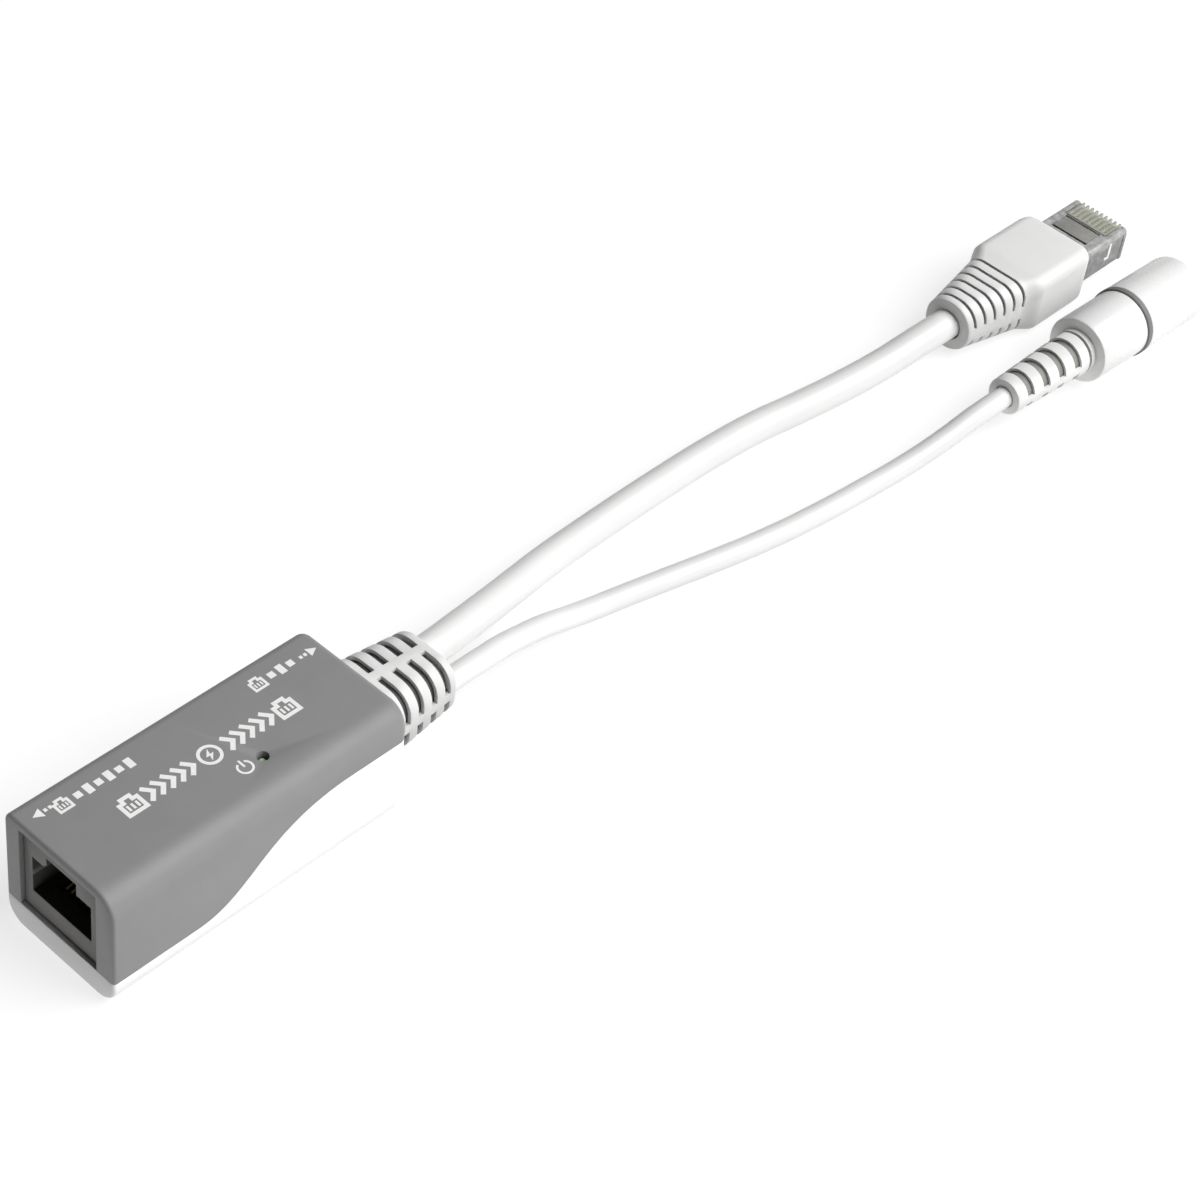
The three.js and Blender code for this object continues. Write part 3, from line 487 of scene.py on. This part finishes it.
def housing_outer():
    rings = []
    for i in range(5):
        angle = math.radians(90 * i / 4)
        rings.append(housing_ring(
            FRONT + FRONT_FILLET * (1 - math.sin(angle)), FRONT_FILLET * (1 - math.cos(angle)),
        ))
    rings.reverse()
    rings += [housing_ring(x, 0) for x in (0, *REAR_BENDS)]
    for i in range(9):
        angle = math.radians(90 * i / 8)
        rings.append(housing_ring(
            REAR - REAR_FILLET * (1 - math.sin(angle)), REAR_FILLET * (1 - math.cos(angle)),
        ))
    return loft(rings)


def housing_cavity():
    wall = HOUSING["wall"]
    stations = (FRONT + HOUSING["front_wall"], *REAR_BENDS, REAR - wall)
    return loft([housing_ring(x, wall) for x in stations])


def parting_block(above):
    shift = SEAM if above else -SEAM
    a, d = (PARTING["start"], PARTING["front"]), (PARTING["end"], PARTING["rear"])
    b, c = (a[0] + PARTING["low_pull"], a[1]), (d[0] - PARTING["high_pull"], d[1])
    line = []
    for i in range(41):
        t = i / 40
        weights = ((1 - t) ** 3, 3 * t * (1 - t) ** 2, 3 * t * t * (1 - t), t ** 3)
        line.append(tuple(sum(w * p[k] for w, p in zip(weights, (a, b, c, d))) for k in (0, 1)))
    limit = 40.0 if above else -20.0
    outline = [(FRONT - 9, PARTING["front"]), *line, (REAR + 9, PARTING["rear"])]
    outline = [(x, z + shift) for x, z in outline] + [(REAR + 9, limit), (FRONT - 9, limit)]
    return prism(outline, "y", -20, 20)


def relief_ring(x, grow):
    t = (x - REAR) / RELIEF["length"]
    width, height = (a + (b - a) * t + 2 * grow for a, b in zip(RELIEF["root"], RELIEF["end"]))
    low, high = RELIEF["axis"] - height / 2, RELIEF["axis"] + height / 2
    ring = rounded(x, width, low, high, [RELIEF["corner"] + grow] * 4, steps=10)
    return [(px, y + RELIEF["y"], z) for px, y, z in ring]


def relief_form(grow, start, end):
    return loft([relief_ring(start, grow), relief_ring(end, grow)])


def snap_hook(side):
    """A hook inside the cover on one side: a stem that reaches down past the parting line."""
    inner = HOUSING["width"] / 2 - HOUSING["wall"] - 0.3
    z, top = PARTING["rear"], PARTING["rear"] + HOOK["top"]
    back = side * (inner - 1)
    stem = box(HOOK["x"], sorted((back, side * inner)), (z - HOOK["reach"], top))
    return join(stem, box(HOOK["x"], sorted((back, side * (inner + HOOK["foot"]))), (z + HOOK["foot"], top)))


def make_housing():
    shell = cut(housing_outer(), housing_cavity(), relief_form(0.1, REAR - 4, REAR + 3))
    lower = shell.copy()
    lower.data = shell.data.copy()
    bpy.context.scene.collection.objects.link(lower)

    cover = keep(shell, parting_block(True))
    opening = box((FRONT - 1, FRONT + HOUSING["front_wall"] + 0.6), JACK_OPENING["y"], JACK_OPENING["z"])
    cut(cover, opening, upright(LED["hole"], LED["x"], LED["y"], 17, 22))
    soften(cover, HOUSING["edge"])
    join(cover, snap_hook(1), snap_hook(-1))
    settle(cover, "cover", "cover", ["top_cover"])

    tray = keep(lower, parting_block(False))
    soften(tray, HOUSING["edge"])
    join(tray, *[
        upright(POST["radius"], x, y, POST["bottom"], POST["top"], 24) for x in POST["x"] for y in POST["y"]
    ])
    settle(tray, "tray", "tray", ["bottom_tray"])


# ---------- network jack ----------
def make_jack():
    face, middle = JACK["face"], JACK["y"]
    block = box((face, face + JACK["length"]), (middle - JACK["half"], middle + JACK["half"]),
                (JACK["bottom"], JACK["top"]))
    half, key, low, top = SOCKET["half"], SOCKET["key_half"], SOCKET["bottom"], SOCKET["top"]
    step, rise = KEY_STEP
    mouth = prism([(middle + y, z) for y, z in (
        (-half, low), (half, low), (half, top), (key + step, top), (key + step, top + rise),
        (key, top + rise), (key, SOCKET["key_top"]), (-key, SOCKET["key_top"]), (-key, top), (-half, top),
    )], "x", face - 1, face + SOCKET["depth"])
    well = box((JACK_WELL["from"], face + JACK["length"] + 1),
               (middle - JACK_WELL["half"], middle + JACK_WELL["half"]), (JACK_WELL["bottom"], low + 0.5))
    cut(block, mouth, well)
    crest, rib_low, rib_high = half - JACK_RIB["stand"], low + JACK_RIB["low"], low + JACK_RIB["high"]
    join(block, prism([(middle + y, z) for y, z in (
        (half + 0.1, rib_low), (crest, rib_low + 0.15), (crest, rib_high - 0.3), (half + 0.1, rib_high),
    )], "x", face + 0.1, face + JACK_RIB["length"]))
    soften(block, 0.1)
    # faces deep inside the opening get the painted shade
    jack_shade_faces = [
        p.center.x > face + JACK_SHADE and abs(p.center.y - middle) < half + NEAR
        and low - NEAR < p.center.z < SOCKET["key_top"] + NEAR
        for p in block.data.polygons
    ]
    settle(block, "jack", "jack", ["jack_housing"])
    shade_part(block, "jack_painted_shade", jack_shade_faces)


def make_springs():
    (root_x, root_z), tip = SPRING["root"], SPRING["tip"]
    for i, offset in enumerate(POLE_OFFSETS):
        y = JACK["y"] + offset
        spring = prism([
            (root_x + 1.3, root_z - 0.2), (root_x + 1.3, root_z + 0.05), (root_x + 0.9, root_z + 0.2),
            tip, (tip[0] - 0.15, tip[1] + 0.4), (root_x - 0.35, root_z + 0.35), (root_x - 0.55, root_z),
            (root_x - 0.3, root_z - 0.2),
        ], "y", y - SPRING["half"], y + SPRING["half"])
        soften(spring, 0.05, angle=20)
        settle(spring, f"spring_{i + 1}", "gold", [f"jack_contact_{i + 1}"], "jack_contacts")


# ---------- strain relief ----------
def make_relief():
    end = REAR + RELIEF["length"]
    root = REAR - HOUSING["wall"] - 0.35
    rounding = RELIEF["rounding"]
    rings = [relief_ring(root - 0.8, 0), relief_ring(end - rounding, 0)]
    for i in range(1, 6):
        angle = math.radians(90 * i / 5)
        inset = rounding * (1 - math.cos(angle))
        rings.append(relief_ring(end - rounding * (1 - math.sin(angle)), -inset))
    sleeve = join(loft(rings), relief_form(RELIEF["flange"], root - RELIEF["flange"], root))
    cut(sleeve, relief_form(-RELIEF["wall"], root - 3, end - RELIEF["end_wall"]))
    rib = RELIEF_SLOTS["rib"] / 2
    for i in range(RELIEF_SLOTS["count"]):
        x = REAR + RELIEF_SLOTS["first"] + i * RELIEF_SLOTS["pitch"]
        span = (x - RELIEF_SLOTS["width"] / 2, x + RELIEF_SLOTS["width"] / 2)
        cut(sleeve, *[
            box(span, sorted((RELIEF["y"] + sy * rib, RELIEF["y"] + sy * 9)),
                sorted((RELIEF["axis"] + sz * rib, RELIEF["axis"] + sz * 9)))
            for sy in (-1, 1) for sz in (-1, 1)
        ])
    for lead in (NETWORK_LEAD, DC_LEAD):
        hole = lead["diameter"] / 2 + HOLE_PLAY
        cut(sleeve, turned([(end - 3, hole), (end + 1, hole)], lead["exit"], 40))
    soften(sleeve, 0.12)
    settle(sleeve, "relief_sleeve", "soft", ["strain_relief"])
    # the core's dark colour is partly painted shade seen through the slots
    core = relief_form(-RELIEF["wall"] - 0.15, root - 0.5, end - RELIEF["end_wall"] - 0.3)
    settle(core, "relief_filling", "relief_dark", ["relief_core"])


# ---------- plug ----------
def boot_ring(x, width, height, radius, inset=0.0):
    low, high = BOOT["axis"] - height / 2 + inset, BOOT["axis"] + height / 2 - inset
    return rounded(x, width - 2 * inset, low, high, [radius - inset] * 4, steps=10)


def taper_ring(x, inset):
    """The boot's tapered part at x, as a ring set in from its surface."""
    t = (x + BOOT["length"] - 1.0) / (BOOT_TAPER["end"] + BOOT["length"] - 1.0)
    collar = 2 * BOOT["collar"]
    width = collar + (BOOT_TAPER["width"] - collar) * t
    height = collar + (BOOT_TAPER["height"] - collar) * t
    start, end = BOOT_TAPER["corners"]
    return boot_ring(x, width, height, start + (end - start) * t, inset)


def make_boot():
    collar, back, block = 2 * BOOT["collar"], -BOOT["length"], -BOOT["block"]
    width, height = BOOT["width"], BOOT["height"]
    # Sections from the lead's end to the plug's end: x, width, height and corner radius.
    boot = loft([boot_ring(*station) for station in (
        (back, collar - 0.9, collar - 0.9, 4.2), (back + 0.15, collar - 0.3, collar - 0.3, 4.4),
        (back + 0.45, collar, collar, 4.5), (back + 1.0, collar, collar, 4.4),
        (BOOT_TAPER["end"], BOOT_TAPER["width"], BOOT_TAPER["height"], 3.0),
        (BOOT_TAPER["end"] + 0.9, 13.6, 10.75, 2.8), (block - 0.9, 14.5, 10.95, 2.6),
        (block, width - 0.1, height - 0.05, 2.4), (block + 0.6, width, height, 2.3),
        (-2.2, width, height, 2.3),
        (-1.2, width - 0.25, height - 0.1, 2.25), (-0.5, width - 0.9, height - 0.35, 2.1),
        (-0.12, width - 1.7, height - 0.8, 1.9), (0, width - 2.4, height - 1.3, 1.7),
    )])
    for i in range(GROOVES["count"]):
        x = GROOVES["first"] + i * GROOVES["pitch"]
        span = (x - GROOVES["width"] / 2, x + GROOVES["width"] / 2)
        groove = box(span, (-9, 9), (-3, 16))
        floor = loft([taper_ring(e, GROOVES["depth"]) for e in (x - 1, x + 1)])
        cut(boot, cut(groove, floor, box((x - 1, x + 1), (-10, 10), GROOVES["rib"])))
    half = PLUG["half"] + HOLE_PLAY
    notch = BOOT_CAVITY["notch_half"]
    cut(boot, box((-BOOT_CAVITY["depth"], 1), (-half, half),
                  (PLUG["bottom"] - HOLE_PLAY, PLUG["top"] + HOLE_PLAY)),
        box((-BOOT_CAVITY["notch_depth"], 1), (-notch, notch), (-1, PLUG["bottom"] + 0.5)))
    hole = NETWORK_LEAD["diameter"] / 2 + HOLE_PLAY
    cut(boot, turned([(back - 1, hole), (back + 4, hole)], (0, BOOT["axis"]), 48))
    soften(boot, 0.07, angle=40)
    settle(boot, "boot", "boot", ["plug_boot"], place=PLUG)


# Dark sheets inside the boot's grooves: painted shade, with no CAD part behind them.
def make_groove_shades():
    for i in range(GROOVES["count"]):
        x = GROOVES["first"] + i * GROOVES["pitch"]
        reach = GROOVES["width"] / 2 + 0.05
        shade_sheet = loft([taper_ring(e, GROOVE_SHADE["top"]) for e in (x - reach, x + reach)])
        hollow = loft([taper_ring(e, GROOVE_SHADE["bottom"]) for e in (x - 1, x + 1)])
        low, high = GROOVES["rib"]
        cut(shade_sheet, hollow, box((x - 1, x + 1), (-10, 10), (low - 0.1, high + 0.1)))
        settle(shade_sheet, f"groove_{i + 1}", "groove_painted_shade", [], place=PLUG)


def below_plug_top(drops):
    """The two heights that lie these distances below the plug's top."""
    return tuple(PLUG["top"] - drop for drop in drops)


def make_plug_core():
    half, bottom, top, nose = PLUG["half"], PLUG["bottom"], PLUG["top"], PLUG["nose"]
    window, (slot_start, slot_end) = SHELL["window"], SHELL["slot"]
    inset = PLUG_BODY["inset"]
    body = box((PLUG_BODY["rear"], nose), (-half + inset, half - inset), (bottom + inset, top - inset))
    join(body, box((window + COMB["behind"], nose - 0.1), (-COMB["half"], COMB["half"]),
                   below_plug_top(COMB["below_top"])))
    cut(body, *[
        box((window + COMB["slot_behind"], nose + 1), (y - BLADE["slot_half"], y + BLADE["slot_half"]),
            (top - COMB["slot_depth"], top + 1))
        for y in POLE_OFFSETS
    ])
    depth = PLUG_BODY["recess_depth"]
    cut(body, box((slot_start - 0.2, slot_end + 0.2), PLUG_BODY["recess"], (top - depth, top + 0.5)),
        box(WIRE_SPACE["x"], (-WIRE_SPACE["half"], WIRE_SPACE["half"]),
            below_plug_top(WIRE_SPACE["below_top"])))
    soften(body, 0.08)
    # painted shade: the recess faces are painted black
    recess_shade_faces = [
        slot_start - 0.25 < p.center.x < slot_end + 0.25 and abs(p.center.y) < 4.7
        and top - depth - 0.1 < p.center.z < top - inset - 0.05
        for p in body.data.polygons
    ]
    settle(body, "plug_core", "clear", ["plug_body"], place=PLUG)
    shade_part(body, "dc_black", recess_shade_faces)


def make_shield():
    half, bottom, top = PLUG["half"], PLUG["bottom"], PLUG["top"]
    wall, front = SHELL["wall"], SHELL["front"]

    def shell(inset, start, end):
        radii = [0.75 - inset] * 4
        width = 2 * (half - inset)
        return loft([rounded(x, width, bottom + inset, top - inset, radii) for x in (start, end)])

    shield = cut(shell(0, SHELL["rear"], front), shell(wall, SHELL["rear"] - 1.5, front + 2))
    above = (top - 1, top + 1)
    wide, under = SHELL_HALVES["window"], SHELL_HALVES["underside"]
    near, far = PANEL["y"][0] - PANEL["play"], PANEL["y"][1] + PANEL["play"]
    cut(shield, box((SHELL["slot"][0], SHELL["panel"][1]), (near, far), above),
        box((SHELL["window"], front + 2), (-wide, wide), above),
        box((-2, front + 2), (-under, under), (bottom - 1, bottom + 1)))
    for sign in (-1, 1):
        rail = sorted((sign * (half - 0.2), sign * (half + RAIL["stand"])))
        join(shield, box(RAIL["stem"], rail, (RAIL["low"], RAIL["high"])),
             box(RAIL["foot"], rail, (RAIL["low"], RAIL["foot_top"])),
             box((NOSE_BAND["from"], front), rail, NOSE_BAND["z"]))
    cut(shield, box((0, front + 1), (-half + wall, half - wall), (bottom + wall, top - wall - 0.05)))
    soften(shield, 0.07)
    # the rail faces get the painted highlight
    rail_highlight_faces = [
        abs(p.center.y) > half + NEAR and p.center.x < RAIL["stem"][1] + 0.25 for p in shield.data.polygons
    ]
    settle(shield, "plug_shell", "shield", ["plug_shield"], place=PLUG)
    shade_part(shield, "shield_painted_highlight", rail_highlight_faces)


def make_panel():
    start, end = SHELL["panel"]
    panel = box((start + PANEL["play"], end), PANEL["y"], below_plug_top(PANEL["below_top"]))
    soften(panel, 0.06)
    settle(panel, "plug_panel", "panel", [], place=PLUG)


def make_blades():
    window, front = SHELL["window"], SHELL["front"]
    low, high = below_plug_top((BLADE["foot"], BLADE["crest"]))
    for i, y in enumerate(POLE_OFFSETS):
        blade = prism([
            (window + 1.1, low), (front, low), (front, high - 0.3), (front - 0.35, high),
            (window + 1.7, high), (window + 1.1, high - 0.45),
        ], "y", y - BLADE["half"], y + BLADE["half"])
        soften(blade, 0.05, 1)
        settle(blade, f"blade_{i + 1}", "blade", [f"plug_contact_{i + 1}"], place=PLUG)


def make_latch():
    (pivot, height), tail, drop = LATCH["pivot"], LATCH["tail"], LATCH["drop"]
    arm, root, (flare_start, flare_end) = LATCH["arm"], LATCH["root"], LATCH["flare"]
    end = pivot + 0.8
    lever = prism([
        (tail, -arm), (flare_start, -arm), (flare_end, -root), (end, -root), (end, root), (flare_end, root),
        (flare_start, arm), (tail, arm),
    ], "z", -1, 6)
    keep(lever, prism([
        (end, height - 0.45), (end, height + 0.45), (pivot, height + 0.45),
        (tail, height + 0.35 - drop), (tail, height - 0.35 - drop), (pivot, height - 0.45),
    ], "y", -6, 6))
    soften(lever, 0.1)
    settle(lever, "latch", "clear", ["plug_latch"], "plug_latch_lever", PLUG)


# ---------- DC socket ----------
def make_barrels():
    rear_end, ring_end, front_start, end = (
        DC_STATIONS[k] for k in ("rear_end", "ring_end", "front_start", "end")
    )
    rear = turned([
        (0, DC["rear"] - 0.45), (0.12, DC["rear"] - 0.15), (0.4, DC["rear"]), (rear_end, DC["rear"]),
    ])
    settle(rear, "barrel_rear", "dc_white", ["dc_rear_barrel"], place=DC)
    ring = turned([
        (rear_end + 0.05, DC["ring"] - 0.2), (rear_end + 0.2, DC["ring"]), (ring_end, DC["ring"]),
    ])
    settle(ring, "barrel_ring", "dc_ring", ["dc_ring"], place=DC)
    front = turned([
        (front_start, DC["front"] - 0.1), (front_start + 0.15, DC["front"]),
        (end - 0.9, DC["front_end"]), (end - 0.45, DC["front_end"] - 0.12),
        (end - 0.12, DC["front_end"] - 0.4), (end, DC["front_end"] - 0.8),
    ])
    start = end - DC_BORE["depth"] - DC_BORE["back"]
    cut(front, turned([(start - 0.3, DC_BORE["seat"]), (end + 1, DC_BORE["seat"])]))
    settle(front, "barrel_front", "dc_white", ["dc_front_barrel"], place=DC)


def make_insulator():
    end = DC_STATIONS["end"]
    start = end - DC_BORE["depth"] - DC_BORE["back"]
    outer = DC_BORE["insulator"]
    insulator = turned([(start, outer), (end - 0.7, outer), (end - 0.4, outer - 0.3)], sides=48)
    bore = [(x, DC_BORE["radius"]) for x in (end - DC_BORE["depth"], end + 1)]
    leaf_slot = box((start + LEAF_SLOT["from_back"], end - LEAF_SLOT["from_end"]),
                    (-LEAF_SLOT["half"], LEAF_SLOT["half"]), LEAF_SLOT["z"])
    cut(insulator, turned(bore, sides=48), leaf_slot)
    soften(insulator, 0.12)
    settle(insulator, "insulator", "dc_black", ["dc_insulator"], place=DC)


def make_pin():
    end = DC_STATIONS["end"]
    pin = turned([
        (end - DC_BORE["depth"] + 0.1, DC_BORE["pin"]), (end - 1.7, DC_BORE["pin"]), (end - 1.3, 0.9),
        (end - 1.05, 0.6), (end - 1.0, 0.3),
    ], sides=32)
    settle(pin, "pin", "steel", ["dc_centre_pin"], place=DC)


def make_dc_relief():
    length, thin, thick = DC_RELIEF["length"], DC_RELIEF["thin"], DC_RELIEF["thick"]

    def taper(shrink, start_x, end_x):
        return [(x, thin + (thick - thin) * (x + length) / length - shrink) for x in (start_x, end_x)]

    (x0, r0), (x1, r1) = taper(0, -length, -0.05)
    sleeve = turned([(x0, r0 - 0.35), (x0 + 0.12, r0 - 0.1), (x0 + 0.4, r0), (x1, r1)])
    neck = turned([(DC_NECK["from"], DC["rear"]), (DC_NECK["to"], DC["rear"])])
    cut(neck, turned([(DC_NECK["from"] - 1, DC_NECK["radius"]), (DC_NECK["to"] + 1, DC_NECK["radius"])]))
    cut(sleeve, neck, turned(taper(DC_RELIEF["wall"], -length + DC_RELIEF["end_wall"], 1)))
    rib = DC_SLOTS["rib"] / 2
    for i in range(DC_SLOTS["count"]):
        x = DC_SLOTS["first"] + i * DC_SLOTS["pitch"]
        span = (x - DC_SLOTS["width"] / 2, x + DC_SLOTS["width"] / 2)
        cut(sleeve, box(span, (-6, 6), (rib, 6)), box(span, (-6, 6), (-6, -rib)))
    hole = DC_LEAD["diameter"] / 2 + HOLE_PLAY
    cut(sleeve, turned([(-length - 1, hole), (-length + 2, hole)], sides=40))
    soften(sleeve, 0.1)
    settle(sleeve, "dc_sleeve", "dc_soft", ["dc_strain_relief"], place=DC)
    # the core's grey is partly painted shade seen through the slots
    core = turned(taper(DC_RELIEF["wall"] + 0.1, -length + 1.5, -0.1))
    settle(core, "dc_filling", "dc_core_and_shade", ["dc_relief_core"], place=DC)


# ---------- printed marks ----------
class Ink:
    """Flat shapes on the cover's top, gathered into one mesh of thin closed bodies."""
    LOW, HIGH = 20.7, 20.82

    def __init__(self):
        self.vertices, self.faces = [], []

    def shape(self, outline):
        base, count = len(self.vertices), len(outline)
        self.vertices += [(x, y, z) for z in (self.LOW, self.HIGH) for x, y in outline]
        self.faces += [
            (base + i, base + (i + 1) % count, base + count + (i + 1) % count, base + count + i)
            for i in range(count)
        ]
        self.faces += [tuple(range(base, base + count))[::-1], tuple(range(base + count, base + 2 * count))]

    def stroke(self, points, width, closed=False):
        """A line of constant width through the points, with mitred corners and no overlaps."""
        points = [Vector(p) for p in points]
        sides = []
        for i, point in enumerate(points):
            before = points[i - 1] if closed or i else None
            after = points[(i + 1) % len(points)] if closed or i < len(points) - 1 else None
            ways = [(b - a).normalized() for a, b in ((before, point), (point, after)) if a and b]
            normals = [Vector((-way.y, way.x)) for way in ways]
            mitre = sum(normals, Vector((0, 0))).normalized()
            reach = width / 2 / mitre.dot(normals[0])
            sides.append((point + mitre * reach, point - mitre * reach))
        ends = zip(sides, sides[1:] + sides[:1]) if closed else zip(sides, sides[1:])
        for (a_left, a_right), (b_left, b_right) in ends:
            self.shape([tuple(v) for v in (a_left, a_right, b_right, b_left)])

    def arc(self, x, y, radius, width, start=0, end=360, steps=28):
        angles = [math.radians(start + (end - start) * i / steps) for i in range(steps + (end - start < 360))]
        ring = [(x + radius * math.cos(a), y + radius * math.sin(a)) for a in angles]
        self.stroke(ring, width, closed=end - start == 360)

    def tile(self, x, y, width, height):
        self.shape([
            (x - width / 2, y - height / 2), (x + width / 2, y - height / 2),
            (x + width / 2, y + height / 2), (x - width / 2, y + height / 2),
        ])

    def socket(self, x, y, size, width):
        """An outlined network socket with a key notch and its contacts."""
        h = size / 2 - width / 2
        self.stroke([
            (x + a * h, y + b * h) for a, b in (
                (-1, -1), (1, -1), (1, 0.5), (0.5, 0.5), (0.5, 1), (-0.5, 1), (-0.5, 0.5), (-1, 0.5),
            )
        ], width, closed=True)
        for k in (-1, 0, 1):
            self.tile(x + k * h * 0.5, y - h * 0.25, width * 0.6, h * 0.7)

    def mesh(self, name):
        return from_faces(name, self.vertices, self.faces)


ROW = {"y": 0.8, "height": 3.4, "middle": 0.4, "socket_offset": 13.6, "chevrons": 5}
ARROWS = ((-24.35, 7.4, 1), (25.05, 6.5, -1))  # the tip's place, and the way its tail points
TILE_ROWS = ((-17.35, 6, 6.7), (16.75, 3, 6.6))  # the first tile's x, how many, and their y
TILE_PITCH = 1.75
POWER = {"x": 2.45, "y": -4.0, "radius": 1.1, "line": 0.34}


def make_marks():
    ink = Ink()
    for x, y, way in ARROWS:
        ink.shape([(x, y), (x + way * 1.5, y - 0.85), (x + way * 1.5, y + 0.85)][::way])
        for step in (2.1, 2.9):
            ink.tile(x + way * step, y, 0.5, 0.56)
    for first, count, y in TILE_ROWS:
        ink.socket(first - 2.6, y, 2.5, 0.42)
        for i in range(count):
            ink.tile(first + TILE_PITCH * i, y, 1.1, 1.1 + 0.7 * (i % 2))

    y, middle = ROW["y"], ROW["middle"]
    half = ROW["height"] / 2
    for side in (-1, 1):
        ink.socket(middle + side * ROW["socket_offset"], y, ROW["height"] + 0.2, 0.62)
        for i in range(ROW["chevrons"]):
            x = middle + side * (3.5 + TILE_PITCH * i)
            ink.stroke([(x - 0.6, y - half + 0.3), (x + 0.6, y), (x - 0.6, y + half - 0.3)], 0.72)
    ink.arc(middle, y, half - 0.1, 0.5)
    ink.shape([
        (middle + dx, y + dy) for dx, dy in (
            (0.4, 1.1), (-0.7, -0.1), (-0.1, -0.1), (-0.4, -1.1), (0.7, 0.1), (0.1, 0.1),
        )
    ])

    x, y, line = POWER["x"], POWER["y"], POWER["line"]
    ink.arc(x, y, POWER["radius"], line, 120, 420, 24)
    ink.stroke([(x, y + 0.1), (x, y + 1.5)], line)
    settle(ink.mesh("marks"), "marks", "ink")


# ---------- assembly ----------
make_housing()
make_jack()
make_springs()
make_relief()
make_boot()
make_groove_shades()
make_plug_core()
make_shield()
make_panel()
make_blades()
make_latch()
make_barrels()
make_insulator()
make_pin()
make_dc_relief()
make_marks()

for node, material in {
    "jack_contact_carrier": "carrier", "circuit_board": "board", "lan_transformer": "component",
    "power_led": "lens", "led_resistor": "component", "input_capacitor": "can", "resettable_fuse": "fuse",
    "blocking_diode": "component", "network_pair_1": "orange", "network_pair_2": "green",
    "network_pair_3": "blue", "network_pair_4": "brown", "dc_wire_positive": "red",
    "dc_wire_negative": "black", "plug_load_bar": "clear", "dc_leaf_contact": "bronze",
}.items():
    keep_node(node, material)


def lay_lead(name, route, lead, node):
    piece = make_lead(name, route, lead["diameter"])
    piece.data.materials.append(M["jacket"])
    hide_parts(node)
    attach(piece, "injector")


PLUG_PIECES = ["boot", "plug_shell", "plug_core", "plug_panel", "latch"]
PLUG_PIECES += [f"groove_{i + 1}" for i in range(GROOVES["count"])] + [f"blade_{i + 1}" for i in range(POLES)]
lay_lead("lead_network", NETWORK_ROUTE, NETWORK_LEAD, "network_lead")
lay_lead("lead_dc", DC_ROUTE, DC_LEAD, "dc_lead")

# ---------- floor and light ----------
KEY = {"towards": (0.35, -0.54, 0.8), "strength": 4.3, "angle": 50}
SKY = {"dim": 0.12, "bright": 0.85, "band": 0.21}  # the band is a sine of the height above the horizon
FLOOR = {"base": 0.25, "glow": 0.75, "half": 6000}


def make_floor():
    floor = box((-FLOOR["half"], FLOOR["half"]), (-FLOOR["half"], FLOOR["half"]), (-2, 0))
    floor.name = "floor"
    floor.data.transform(Matrix.Scale(MM, 4))
    material, _, _, shader = new_material("floor_white")
    shader.inputs["Base Color"].default_value = (FLOOR["base"], FLOOR["base"], FLOOR["base"], 1)
    shader.inputs["Roughness"].default_value = 1.0
    shader.inputs["Emission Color"].default_value = (1, 1, 1, 1)
    shader.inputs["Emission Strength"].default_value = FLOOR["glow"]
    floor.data.materials.append(material)


def make_key_light():
    light = bpy.data.lights.new("key", "SUN")
    light.energy = KEY["strength"]
    light.angle = math.radians(KEY["angle"])
    key = bpy.data.objects.new("key", light)
    key.rotation_euler = Vector(KEY["towards"]).to_track_quat("Z", "Y").to_euler()
    bpy.context.scene.collection.objects.link(key)


def make_sky():
    """A faint grey sky, a little less dark near the horizon."""
    world = bpy.data.worlds.new("studio")
    world.use_nodes = True
    nodes, links = world.node_tree.nodes, world.node_tree.links
    coordinates = nodes.new("ShaderNodeTexCoord")
    split = nodes.new("ShaderNodeSeparateXYZ")
    height = nodes.new("ShaderNodeMath")
    height.operation = "ABSOLUTE"
    band = nodes.new("ShaderNodeMapRange")
    band.interpolation_type = "SMOOTHSTEP"
    band.inputs["From Max"].default_value = SKY["band"]
    band.inputs["To Min"].default_value = SKY["bright"]
    band.inputs["To Max"].default_value = SKY["dim"]
    links.new(coordinates.outputs["Generated"], split.inputs["Vector"])
    links.new(split.outputs["Z"], height.inputs[0])
    links.new(height.outputs["Value"], band.inputs["Value"])
    links.new(band.outputs["Result"], nodes["Background"].inputs["Strength"])
    bpy.context.scene.world = world


make_floor()
make_key_light()
make_sky()
bpy.context.scene.view_settings.view_transform = "Standard"
